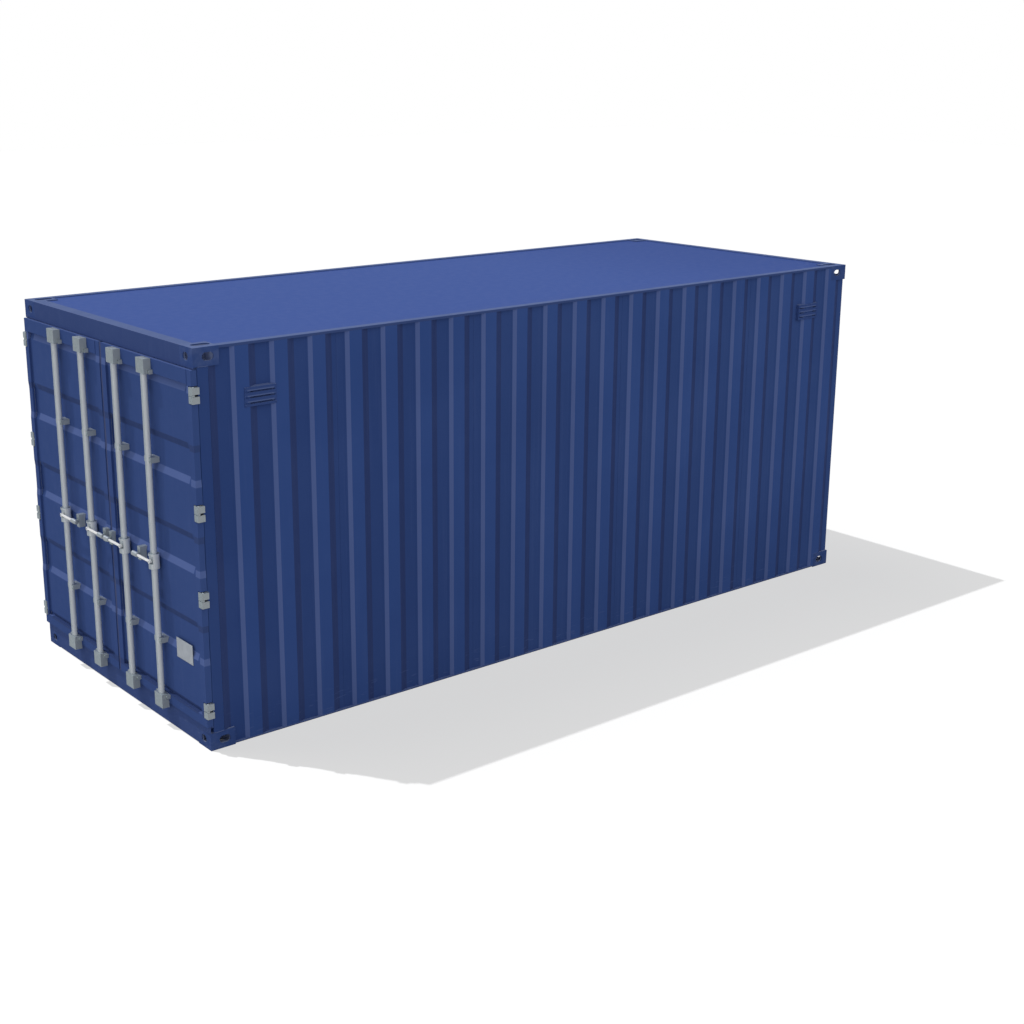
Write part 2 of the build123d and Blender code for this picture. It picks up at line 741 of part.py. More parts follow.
def make_leaf_panel(side):
    """The ribbed steel panel between one leaf's stiles and rails."""
    points = [(PANEL_X + depth, z) for z, depth in closed_sheet(PANEL_LINE)]
    inner = LEAF_WIDTH - STILE_WIDTH
    with BuildPart() as panel:
        with BuildSketch(Plane.XZ.offset(-leaf_y(side, (STILE_WIDTH + inner) / 2))):
            with BuildLine():
                Polyline(*points, close=True)
            make_face()
        extrude(amount=(inner - STILE_WIDTH) / 2, both=True)
    return panel.part


def cut_panel_seat(side):
    """Cut the panel's outer form from the back of a fitting that stands on it."""
    behind = [(PANEL_X + depth, z) for z, depth in PANEL_LINE]
    behind.append((PANEL_X + PANEL_DEPTH + OVERRUN, PANEL_TOP))
    behind.append((PANEL_X + PANEL_DEPTH + OVERRUN, PANEL_BOTTOM))
    with BuildSketch(Plane.XZ.offset(-leaf_y(side, LEAF_WIDTH / 2))) as seat:
        with BuildLine():
            Polyline(*behind, close=True)
        make_face()
    extrude(seat.sketch, amount=LEAF_WIDTH / 2, both=True, mode=Mode.SUBTRACT)


def make_bracket(side, bar_y, height):
    """A saddle on the panel that wraps a lock bar a little past its middle."""
    half = BRACKET_WIDTH / 2
    z_range = (height - BRACKET_HEIGHT / 2, height + BRACKET_HEIGHT / 2)
    with BuildPart() as bracket:
        add(block((DOOR_X - BRACKET_FRONT, PANEL_X + PANEL_DEPTH), (bar_y - half, bar_y + half), z_range))
        cut_panel_seat(side)
        bore_from = (BAR_X, bar_y, z_range[0] - OVERRUN)
        bore_to = (BAR_X, bar_y, z_range[1] + OVERRUN)
        add(round_rod(bore_from, bore_to, BAR_RADIUS + BAR_CLEARANCE), mode=Mode.SUBTRACT)
    return bracket.part


def make_housing(bar_y, top):
    """A box on a leaf's rail that takes one end of a lock bar."""
    half = HOUSING_WIDTH / 2
    z_low = HOUSING_TOP - HOUSING_HEIGHT if top else HOUSING_BOTTOM
    z_high = z_low + HOUSING_HEIGHT
    face = DOOR_X - LEAF_PROUD
    foot_low = z_low if top else z_high - FOOT_HEIGHT
    mouth = z_low - OVERRUN if top else z_high + OVERRUN
    blind = z_high - BAR_END_DEPTH if top else z_low + BAR_END_DEPTH
    with BuildPart() as housing:
        add(block((DOOR_X - HOUSING_FRONT, face), (bar_y - half, bar_y + half), (z_low, z_high)))
        add(
            block(
                (face - FOOT_DEPTH, face),
                (bar_y - FOOT_WIDTH / 2, bar_y + FOOT_WIDTH / 2),
                (foot_low, foot_low + FOOT_HEIGHT),
            )
        )
        bore = round_rod((BAR_X, bar_y, blind), (BAR_X, bar_y, mouth), BAR_RADIUS + BAR_CLEARANCE)
        add(bore, mode=Mode.SUBTRACT)
    return housing.part


def make_catch(side, bar_y, toward, frame):
    """The block on the panel or stile that backs a handle's grip, with its rest pad."""
    y_range = (bar_y + toward * CATCH_START, bar_y + toward * (CATCH_START + CATCH_WIDTH))
    z_range = (HANDLE_HEIGHT - CATCH_HEIGHT / 2, HANDLE_HEIGHT + CATCH_HEIGHT / 2)
    grip_back = HANDLE_X + GRIP_RADIUS + SOFT_GAP
    on_stile = min(abs(y) for y in y_range) < LEAF_EDGE + STILE_WIDTH
    stile_back = DOOR_X - LEAF_PROUD + SWAGE_DEPTH
    catch_back = stile_back if on_stile else PANEL_X + PANEL_DEPTH
    with BuildPart() as catch:
        add(block((DOOR_X - CATCH_FRONT, catch_back), y_range, z_range))
        if on_stile:
            add(frame, mode=Mode.SUBTRACT)
        else:
            cut_panel_seat(side)
        pad_from = (DOOR_X - CATCH_FRONT, sum(y_range) / 2, HANDLE_HEIGHT)
        pad_to = (grip_back, sum(y_range) / 2, HANDLE_HEIGHT)
        add(round_rod(pad_from, pad_to, PAD_RADIUS))
    return catch.part


POCKET_X = BAR_X - BAR_RADIUS - HUB_POCKET_BACK
HANDLE_X = POCKET_X - EYE_GAP - EYE_THICKNESS / 2


def make_bar(bar_y):
    """A round lock bar with its pocketed handle hub and the handle's pivot pin."""
    z_low = HOUSING_BOTTOM + BAR_END_DEPTH + SOFT_GAP
    z_high = HOUSING_TOP - BAR_END_DEPTH - SOFT_GAP
    half = HUB_HEIGHT / 2
    with BuildPart() as bar:
        add(round_rod((BAR_X, bar_y, z_low), (BAR_X, bar_y, z_high), BAR_RADIUS))
        hub_low = (BAR_X, bar_y, HANDLE_HEIGHT - half)
        hub_high = (BAR_X, bar_y, HANDLE_HEIGHT + half)
        add(round_rod(hub_low, hub_high, HUB_RADIUS))
        pocket = block(
            (BAR_X - HUB_RADIUS - OVERRUN, POCKET_X),
            (bar_y - HUB_RADIUS, bar_y + HUB_RADIUS),
            (HANDLE_HEIGHT - HUB_POCKET_BELOW, HANDLE_HEIGHT + HUB_POCKET_ABOVE),
        )
        add(pocket, mode=Mode.SUBTRACT)
        pivot_end = HANDLE_X - EYE_THICKNESS / 2 - EYE_GAP
        pivot = round_rod((BAR_X, bar_y, HANDLE_HEIGHT), (pivot_end, bar_y, HANDLE_HEIGHT), PIVOT_RADIUS)
        add(pivot)
    return bar.part


def make_handle(bar_y, toward):
    """A handle: an eye on the pivot, a thin rod and a thicker grip."""
    half = EYE_THICKNESS / 2
    grip_from = (HANDLE_X, bar_y + toward * GRIP_START, HANDLE_HEIGHT)
    grip_to = (HANDLE_X, bar_y + toward * HANDLE_LENGTH, HANDLE_HEIGHT)
    with BuildPart() as handle:
        eye_front = (HANDLE_X - half, bar_y, HANDLE_HEIGHT)
        eye_back = (HANDLE_X + half, bar_y, HANDLE_HEIGHT)
        add(round_rod(eye_front, eye_back, EYE_RADIUS))
        add(round_rod((HANDLE_X, bar_y, HANDLE_HEIGHT), grip_from, HANDLE_RADIUS))
        add(round_rod(grip_from, grip_to, GRIP_RADIUS))
        bore_from = (HANDLE_X - half - OVERRUN, bar_y, HANDLE_HEIGHT)
        bore_to = (HANDLE_X + half + OVERRUN, bar_y, HANDLE_HEIGHT)
        add(round_rod(bore_from, bore_to, PIVOT_RADIUS + PIVOT_CLEARANCE), mode=Mode.SUBTRACT)
    return handle.part


def make_gasket(side):
    """The rubber strip round one leaf's back edge, with a lip to the centre gap."""
    x_range = (DOOR_X + LEAF_BACK, DOOR_X + POST_SETBACK - SOFT_GAP)
    inner_edge = SIDE_Y - SOFT_GAP
    outer_edge = HINGE_NOTCH + LEAF_WALL
    with BuildPart() as gasket:
        add(block(x_range, (leaf_y(side, outer_edge), leaf_y(side, inner_edge)), (LEAF_BOTTOM, LEAF_TOP)))
        add(
            block(
                (x_range[0] - OVERRUN, x_range[1] + OVERRUN),
                (leaf_y(side, outer_edge + GASKET_WIDTH), leaf_y(side, LEAF_WIDTH - GASKET_WIDTH)),
                (LEAF_BOTTOM + GASKET_WIDTH, LEAF_TOP - GASKET_WIDTH),
            ),
            mode=Mode.SUBTRACT,
        )
    return gasket.part


for side, side_name in ((RIGHT, "right"), (LEFT, "left")):
    save(make_lugs(side), f"{side_name}_hinge_lugs")
    frame = make_leaf_frame(side)
    save(frame, f"{side_name}_door_frame")
    save(make_leaf_panel(side), f"{side_name}_door_panel")
    save(make_gasket(side), f"{side_name}_door_gasket")
    fittings = make_blades(side)
    for bar_name, bar_offset in (("inner", BAR_INNER_Y), ("outer", BAR_OUTER_Y)):
        bar_y = side * bar_offset
        fittings.append(make_housing(bar_y, True))
        fittings.append(make_housing(bar_y, False))
        for height in BRACKET_HEIGHTS:
            fittings.append(make_bracket(side, bar_y, height))
        fittings.append(make_catch(side, bar_y, -side, frame))
        save(make_bar(bar_y), f"{side_name}_{bar_name}_lock_bar")
        save(make_handle(bar_y, -side), f"{side_name}_{bar_name}_handle")
    if side == RIGHT:
        plate_x = (PANEL_X - PLATE_THICKNESS, PANEL_X)
        plate_y = (leaf_y(side, PLATE_OUTER), leaf_y(side, PLATE_OUTER + PLATE_WIDTH))
        fittings.append(block(plate_x, plate_y, (PLATE_BOTTOM, PLATE_BOTTOM + PLATE_HEIGHT)))
    save(Compound(children=fittings), f"{side_name}_door_fittings")
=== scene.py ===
"""A 20 ft dry freight container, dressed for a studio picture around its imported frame.

Everything is in metres. The origin is at the centre of the base, the doors are at -X,
and the long sides are at -Y (right, seen from outside facing the doors) and +Y (left).
"""

import logging
import math
from dataclasses import dataclass, field
from enum import Enum
from functools import cached_property
from typing import Any, Sequence

import bmesh
import bpy
import numpy as np
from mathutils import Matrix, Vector


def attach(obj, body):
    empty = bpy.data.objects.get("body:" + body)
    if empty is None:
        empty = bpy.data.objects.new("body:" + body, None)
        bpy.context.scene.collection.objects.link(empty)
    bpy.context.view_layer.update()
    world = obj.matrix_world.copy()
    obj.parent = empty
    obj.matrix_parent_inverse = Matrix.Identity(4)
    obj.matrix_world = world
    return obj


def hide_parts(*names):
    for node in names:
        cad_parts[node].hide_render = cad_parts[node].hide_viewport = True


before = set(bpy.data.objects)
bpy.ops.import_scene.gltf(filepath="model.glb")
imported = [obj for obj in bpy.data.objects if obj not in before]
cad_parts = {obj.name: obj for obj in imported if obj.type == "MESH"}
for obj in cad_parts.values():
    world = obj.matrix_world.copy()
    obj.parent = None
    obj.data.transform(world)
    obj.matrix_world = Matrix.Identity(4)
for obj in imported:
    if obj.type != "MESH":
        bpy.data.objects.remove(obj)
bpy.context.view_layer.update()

LOG = logging.getLogger("container")
Triple = tuple[float, float, float]
Pair = tuple[float, float]
# Where a mask starts and ends to count, and the shares that it shows there
Reach = tuple[float, float, float, float]

# Outer planes of the container, and places that several sub-assemblies share
DOOR_X = -3.029
FRONT_X = 3.029
SIDE_Y = 1.219
HEIGHT = 2.591
CASTING_LENGTH = 0.178
LEAF_FACE = DOOR_X - 0.020
LEAF_BACK = DOOR_X + 0.023
LEAF_BOTTOM = 0.165
LEAF_TOP = 2.459
FOLD_START = DOOR_X + 0.102
FOLD_PITCH = 5.8422 / 21
SEED = 20

# How meshes are cleaned: distances in metres, angles in degrees
DOUBLES_WITHIN = 1e-6
SLIVERS_WITHIN = 1e-7
COPY_DOUBLES_WITHIN = 2e-5
FLAT_WITHIN = 1.0
ROLLED_FROM = 40.0
ROLLED_CREASE = 50.0

FORWARD = (-1.0, 0.0, 0.0)
LEFTWARD = (0.0, 1.0, 0.0)
UP = (0.0, 0.0, 1.0)
WHITE = (1.0, 1.0, 1.0, 1.0)

# Settings that every node of a kind has here: ranges ease in and out, and mixes are of colours
NODE_SETTINGS = {"MapRange": {"interpolation_type": "SMOOTHSTEP"}, "Mix": {"data_type": "RGBA"}}


class Side(Enum):
    """The two long sides, and the two door leaves."""

    RIGHT = -1
    LEFT = 1

    @property
    def word(self) -> str:
        """The side's name as the frame's nodes spell it."""
        return self.name.lower()


class BarPlace(Enum):
    """How far each lock bar stands from the container's middle."""

    INNER = 0.247
    OUTER = 0.662

    @property
    def word(self) -> str:
        """The bar's name as the frame's nodes spell it."""
        return self.name.lower()


def linear(colour: str) -> tuple[float, float, float, float]:
    """Turn an sRGB hex colour into linear light.

    Args:
        colour: Six hex digits after a hash.

    Returns:
        Red, green, blue and alpha, each from zero to one.
    """
    parts = np.array([int(colour[i : i + 2], 16) for i in (1, 3, 5)]) / 255
    light = np.where(parts <= 0.04045, parts / 12.92, ((parts + 0.055) / 1.055) ** 2.4)
    return (*(float(v) for v in light), 1.0)


@dataclass
class Recipe:
    """The nodes of one material, in the order in which its coats are laid."""

    tree: bpy.types.NodeTree

    def __post_init__(self) -> None:
        """Start from an empty tree."""
        self.tree.nodes.clear()

    @cached_property
    def where(self) -> Any:
        """The socket of a place on the piece, in the frame's metres."""
        return self.add("TexCoord", (), "Object")

    @cached_property
    def normal(self) -> Any:
        """The socket of the piece's own normal."""
        return self.add("TexCoord", (), "Normal")

    def add(self, kind: str, inputs: Any, output: Any = 0, **settings: Any) -> Any:
        """Add one node with its settings and links.

        Args:
            kind: The node's type, without the leading ShaderNode.
            inputs: Values, or the sockets that feed them, in order or by socket name or number.
            output: The name or number of the output socket that is wanted.
            settings: Attributes of the node.

        Returns:
            That output socket, or None where the node has none.
        """
        node = self.tree.nodes.new("ShaderNode" + kind)
        for key, value in (NODE_SETTINGS.get(kind, {}) | settings).items():
            setattr(node, key, value)
        for key, value in inputs.items() if isinstance(inputs, dict) else enumerate(inputs):
            if isinstance(value, bpy.types.NodeSocket):
                self.tree.links.new(value, node.inputs[key])
            else:
                node.inputs[key].default_value = value
        return node.outputs[output] if node.outputs else None

    def patches(self, millimetres: float, detail: float = 3.0, squeeze: Sequence[float] = ()) -> Any:
        """Scatter cloudy patches of about one size over the piece.

        Args:
            millimetres: The patches' size.
            detail: How many finer layers lie on them.
            squeeze: A factor for each axis, below one where the patches are drawn out.

        Returns:
            Their value socket, from zero to one.
        """
        place = self.add("Mapping", {"Vector": self.where, "Scale": squeeze}) if squeeze else self.where
        inputs = {"Vector": place, "Scale": 1000 / millimetres, "Detail": detail, "Roughness": 0.55}
        return self.add("TexNoise", inputs)

    def cover(self, under: Any, over: str, mask: Any, *reach: float) -> Any:
        """Lay a colour over another where a mask says.

        Args:
            under: The colour that is covered, as hex or a colour socket.
            over: The colour that covers it, as hex.
            mask: How much of it shows.
            reach: Where the mask starts and ends to count, and the shares that it shows there.

        Returns:
            The covered colour's socket.
        """
        share = self.add("MapRange", (mask, *reach)) if reach else mask
        first = linear(under) if isinstance(under, str) else under
        return self.add("Mix", {0: share, 6: first, 7: linear(over)}, 2)

    def looking(self, direction: Triple, low: float, high: float) -> Any:
        """Mark the faces that look a fixed way of the object.

        Args:
            direction: The way.
            low: The cosine of the angle to it at which the mark starts.
            high: The cosine at which it is full.

        Returns:
            A value socket, from zero to one.
        """
        cosine = self.add("VectorMath", (self.normal, direction), "Value", operation="DOT_PRODUCT")
        return self.add("MapRange", (cosine, low, high))

    def close(self, colour: Any, rough: Any, height: Any, depth_mm: float, **others: Any) -> None:
        """Close the material with its shader, bump and output.

        Args:
            colour: The colour socket.
            rough: The roughness socket.
            height: The bump's height socket.
            depth_mm: How deep the bump is at most.
            others: Further shader sockets, spaces as underscores: a number, or a socket that varies.
        """
        bump = self.add("Bump", {"Height": height, "Distance": depth_mm / 1000, "Strength": 0.8})
        inputs = {"Base Color": colour, "Roughness": rough, "Normal": bump}
        inputs.update({key.replace("_", " "): value for key, value in others.items()})
        self.add("OutputMaterial", {"Surface": self.add("BsdfPrincipled", inputs)})


@dataclass(frozen=True)
class Finish:
    """What every finish shares: its material's name, and how the material is made."""

    name: str

    def lay(self, nodes: Recipe) -> None:
        """Lay the finish's coats; each finish has its own."""
        raise NotImplementedError

    def build(self) -> bpy.types.Material:
        """Make the material.

        Returns:
            The material, on Object coordinates.
        """
        material = bpy.data.materials.new(self.name)
        material.use_nodes = True
        self.lay(Recipe(material.node_tree))
        return material


@dataclass(frozen=True)
class MarinePaint(Finish):
    """Sprayed marine topcoat on blasted steel.

    To the eye it is nearly matt. Its faces that look up carry a painted highlight and those
    that look down carry painted shade; over these lie cloudy chalking and dirt, soft vertical
    rain marks, and a few scuffs near the ground.
    Its orange peel is about 3 mm, drawn here at 14 mm so that it shows at all.
    """

    coat: str
    # Second colour: painted highlight, also the chalking in clouds, rain marks and scuffs. Third colour:
    # painted shade (in the castings' pockets, painted light), also the dirt in clouds.
    chalk: str
    grime: str
    slope: Pair = (0.03, 0.06)
    chalk_share: float = 1.0
    inner_coat: str = ""
    inner_from: Triple = (0.0, 0.0, 0.0)
    # Painted shade gradient: the colour that the coat darkens to along X, and where it starts and is full
    faded: str = ""
    fade_reach: Pair = (0.0, 1.0)
    patches_mm: float = 900.0
    speckle_mm: float = 60.0
    rain_mm: float = 38.0
    scuffs_mm: float = 26.0
    peel_mm: float = 14.0
    streaks: float = 0.10
    scuff_height: float = 0.32
    sheen: float = 0.04
    roughness: float = 0.80
    roughness_spread: Pair = (-0.07, 0.09)
    peel_depth_mm: float = 0.15
    grime_clouds: Reach = (0.35, 0.75, 0.0, 0.16)
    chalk_clouds: Reach = (0.60, 0.25, 0.0, 0.10)
    rain_reach: Pair = (0.52, 0.78)
    rain_stretch: Triple = (1.0, 1.0, 0.035)
    scuff_reach: Reach = (0.60, 0.68, 0.0, 0.35)
    scuff_stretch: Triple = (0.25, 0.25, 1.6)
    speckle_reach: Pair = (0.3, 0.7)
    inner_slope: Pair = (0.1, 0.3)

    def weather(self, nodes: Recipe) -> tuple[Any, Any]:
        """Find where the coat carries its painted highlight and its painted shade.

        Args:
            nodes: The material's recipe.

        Returns:
            The painted highlight's and the painted shade's share sockets.
        """
        # Painted highlight on faces that look up, painted shade on faces that look down
        level, steep = self.slope
        return nodes.looking(UP, level, steep), nodes.looking(UP, -level, -steep)

    def tint(self, nodes: Recipe, coat: Any) -> Any:
        """Leave the coat as it was sprayed."""
        return coat

    def lay(self, nodes: Recipe) -> None:
        """Lay the coat, its painted shade gradient, painted highlight and shade, cloudy chalking and dirt,
        rain marks and scuffs.

        Args:
            nodes: The material's recipe.
        """
        ground = nodes.add("SeparateXYZ", (nodes.where,)).node.outputs
        # Masks of the painted highlight and of the painted shade; on castings the second is painted light in
        # the pockets
        painted_highlight, painted_shade_and_fill = self.weather(nodes)
        painted_highlight = nodes.add("Math", (painted_highlight, self.chalk_share), operation="MULTIPLY")
        colour: Any = self.coat
        # Painted shade gradient along X
        if self.faded:
            colour = nodes.cover(colour, self.faded, ground["X"], *self.fade_reach)
        colour = self.tint(nodes, colour)
        # Lay the painted highlight, then the painted shade
        colour = nodes.cover(colour, self.chalk, painted_highlight)
        colour = nodes.cover(colour, self.grime, painted_shade_and_fill)
        clouds = nodes.patches(self.patches_mm)
        colour = nodes.cover(colour, self.grime, clouds, *self.grime_clouds)
        colour = nodes.cover(colour, self.chalk, clouds, *self.chalk_clouds)
        rain = nodes.patches(self.rain_mm, 4.0, self.rain_stretch)
        colour = nodes.cover(colour, self.chalk, rain, *self.rain_reach, 0.0, self.streaks)
        scuffs = nodes.patches(self.scuffs_mm, 6.0, self.scuff_stretch)
        scuffs = nodes.add("MapRange", (scuffs, *self.scuff_reach))
        low = nodes.add("MapRange", (ground["Z"], self.scuff_height, 0.0))
        colour = nodes.cover(colour, self.chalk, nodes.add("Math", (low, scuffs), operation="MULTIPLY"))
        if self.inner_coat:
            inside = nodes.looking(self.inner_from, *self.inner_slope)
            colour = nodes.cover(colour, self.inner_coat, inside)
        speckles, peel = nodes.patches(self.speckle_mm, 5.0), nodes.patches(self.peel_mm, 2.0)
        ends = [self.roughness + change for change in self.roughness_spread]
        rough = nodes.add("MapRange", (speckles, *self.speckle_reach, *ends))
        nodes.close(colour, rough, peel, self.peel_depth_mm, Specular_IOR_Level=self.sheen)


@dataclass(frozen=True)
class FoldedSheetPaint(MarinePaint):
    """The same topcoat on a corrugated wall or a ribbed door.

    Each fold carries a painted highlight on one slope and painted shade on the other,
    set by where a place lies along its bay. On the walls the painted shade also runs along
    the foot of the fold for 14 mm, and on the doors the painted bands stop beside the outer
    stile, in the bare strip.
    """

    axis: str = "X"
    start: float = FOLD_START
    pitch: float = FOLD_PITCH
    # Where along each bay the painted shade and the painted highlight lie
    shade_band: Pair = (0.000, 0.056)
    pale_band: Pair = (0.154, 0.182)
    crown_band: Pair = (0.182, 0.2782)
    crown: str = ""
    crown_share: float = 0.42
    bare_strip: Pair = (0.0, 0.0)
    blur: float = 0.002
    ledge_slope: Pair = (0.8, 0.95)

    def within(self, nodes: Recipe, band: Pair) -> Any:
        """Mark the same stretch of every bay.

        Args:
            nodes: The material's recipe.
            band: Where the stretch starts and ends in its bay.

        Returns:
            A value socket, one inside the stretch.
        """
        along = nodes.add("SeparateXYZ", (nodes.where,), self.axis)
        moved = nodes.add("Math", (along, self.start - self.blur), operation="SUBTRACT")
        place = nodes.add("Math", (moved, self.pitch), operation="FLOORED_MODULO")
        rise = nodes.add("MapRange", (place, band[0], band[0] + 2 * self.blur))
        fall = nodes.add("MapRange", (place, band[1], band[1] + 2 * self.blur, 1.0, 0.0))
        return nodes.add("Math", (rise, fall), operation="MULTIPLY")

    def tint(self, nodes: Recipe, coat: Any) -> Any:
        """Lighten the folds' outer flats.

        Args:
            nodes: The material's recipe.
            coat: The coat's colour.

        Returns:
            The coat's colour with the lightened flats on it.
        """
        if not self.crown:
            return coat
        # Lighten each fold's outer flat by a share
        crowns = (self.within(nodes, self.crown_band), self.crown_share)
        return nodes.cover(coat, self.crown, nodes.add("Math", crowns, operation="MULTIPLY"))

    def weather(self, nodes: Recipe) -> tuple[Any, Any]:
        """Paint highlight and shade on the folds' slopes by how far along its bay a place lies, and paint a
        highlight on the ledges.

        Args:
            nodes: The material's recipe.

        Returns:
            The painted highlight's and the painted shade's share sockets.
        """
        # Painted highlight band and painted shade band of each fold
        shares = [self.within(nodes, band) for band in (self.pale_band, self.shade_band)]
        inner, outer = self.bare_strip
        if outer:
            across = nodes.add("SeparateXYZ", (nodes.where,), "Y")
            across = nodes.add("Math", (across,), operation="ABSOLUTE")
            before = nodes.add("MapRange", (across, inner, inner + self.blur, 1.0, 0.0))
            after = nodes.add("MapRange", (across, outer - self.blur, outer))
            kept = nodes.add("Math", (before, after), operation="MAXIMUM")
            shares = [nodes.add("Math", (share, kept), operation="MULTIPLY") for share in shares]
        # Ledges that look up also get the painted highlight
        ledge = nodes.looking(UP, *self.ledge_slope)
        return nodes.add("Math", (shares[0], ledge), operation="MAXIMUM"), shares[1]


@dataclass(frozen=True)
class CastCornerPaint(MarinePaint):
    """The same topcoat sprayed on cast steel.

    The eye sees dirt in patches about 90 mm across. Its top faces carry a painted highlight,
    and the pockets that lie more than about 10 mm inside the container's outer planes carry
    painted light: a paler colour where shade falls.
    """

    dusty_reach: Pair = (0.004, 0.012)

    def weather(self, nodes: Recipe) -> tuple[Any, Any]:
        """Paint a highlight on the top faces, and paint light into what lies deep inside the container's
        outer planes.

        Args:
            nodes: The material's recipe.

        Returns:
            The painted highlight's share socket, and that of the painted light in the pockets.
        """
        painted_highlight, _ = super().weather(nodes)
        # Painted light that grows deeper inside the container's outer planes
        centred = nodes.add("VectorMath", (nodes.where, (0.0, 0.0, HEIGHT / 2)), operation="SUBTRACT")
        folded = nodes.add("VectorMath", (centred,), operation="ABSOLUTE")
        planes = (FRONT_X, SIDE_Y, HEIGHT / 2)
        depths = nodes.add("VectorMath", (planes, folded), operation="SUBTRACT")
        least, *others = nodes.add("SeparateXYZ", (depths,)).node.outputs
        for depth in others:
            least = nodes.add("Math", (least, depth), operation="MINIMUM")
        return painted_highlight, nodes.add("MapRange", (least, *self.dusty_reach))


@dataclass(frozen=True)
class GalvanisedSteel(Finish):
    """Hot-dip galvanised steel, weathered.

    To the eye it is a pale grey metal whose mirror has gone dull, with faint crystal
    flowers about 12 mm across and cloudy white rust. Its level faces carry pale dusting
    together with a painted highlight, and its flanks that look to either long side carry a
    matt painted highlight.
    """

    zinc: str
    rust: str
    metallic: float
    roughness: float
    spangle_mm: float = 12.0
    depth_mm: float = 0.12
    cloud_mm: float = 90.0
    run_mm: float = 16.0
    dust: str = "#C3CCD6"
    flank: str = ""
    roughness_spread: Pair = (-0.08, 0.10)
    flower_reach: Reach = (0.0, 1.0, 0.0, 0.22)
    cloud_reach: Reach = (0.42, 0.72, 0.0, 0.45)
    run_reach: Reach = (0.60, 0.80, 0.0, 0.25)
    run_stretch: Triple = (1.0, 1.0, 0.08)
    dust_slope: Pair = (0.6, 0.95)
    flank_reach: Pair = (0.05, 0.75)

    def lay(self, nodes: Recipe) -> None:
        """Lay the zinc, its flowers, rust and runs, then the dusting and painted highlight on level faces and
        the painted highlight on the flanks.

        Args:
            nodes: The material's recipe.
        """
        cells = nodes.add("TexVoronoi", {"Vector": nodes.where, "Scale": 1000 / self.spangle_mm}, "Color")
        flowers = nodes.add("SeparateXYZ", (cells,), "X")
        clouds = nodes.patches(self.cloud_mm, 5.0)
        runs = nodes.patches(self.run_mm, 3.0, self.run_stretch)
        colour = nodes.cover(self.zinc, self.rust, flowers, *self.flower_reach)
        colour = nodes.cover(colour, self.rust, clouds, *self.cloud_reach)
        colour = nodes.cover(colour, self.rust, runs, *self.run_reach)
        # Pale dusting on faces that look up, together with a painted highlight
        colour = nodes.cover(colour, self.dust, nodes.looking(UP, *self.dust_slope))
        metallic: Any = self.metallic
        # Painted highlight on the flanks that look to either long side, where the metal turns matt
        if self.flank:
            across = nodes.add("VectorMath", (nodes.normal, LEFTWARD), "Value", operation="DOT_PRODUCT")
            across = nodes.add("Math", (across, across), operation="MULTIPLY")
            flank_highlight_share = nodes.add("MapRange", (across, *self.flank_reach))
            colour = nodes.cover(colour, self.flank, flank_highlight_share)
            metallic = nodes.add("MapRange", (flank_highlight_share, 0.0, 1.0, self.metallic, 0.0))
        ends = [self.roughness + change for change in self.roughness_spread]
        rough = nodes.add("MapRange", (flowers, 0.0, 1.0, *ends))
        nodes.close(colour, rough, clouds, self.depth_mm, Metallic=metallic)


@dataclass(frozen=True)
class SealRubber(Finish):
    """Extruded EPDM door seal: near black, matt, with a dusty bloom and fine draw lines."""

    name: str = "epdm_door_seal"
    rubber: str = "#17181A"
    dust: str = "#4A4C4E"
    bloom_mm: float = 120.0
    line_mm: float = 3.0
    line_depth_mm: float = 0.2
    line_stretch: Triple = (1.0, 1.0, 0.05)
    bloom_reach: Reach = (0.4, 0.8, 0.0, 0.5)
    roughness: Reach = (0.3, 0.8, 0.62, 0.85)
    sheen: float = 0.35

    def lay(self, nodes: Recipe) -> None:
        """Lay the rubber and its bloom; the draw lines are the bump.

        Args:
            nodes: The material's recipe.
        """
        dusty = nodes.patches(self.bloom_mm, 4.0)
        lines = nodes.patches(self.line_mm, 2.0, self.line_stretch)
        colour = nodes.cover(self.rubber, self.dust, dusty, *self.bloom_reach)
        rough = nodes.add("MapRange", (dusty, *self.roughness))
        nodes.close(colour, rough, lines, self.line_depth_mm, Specular_IOR_Level=self.sheen)


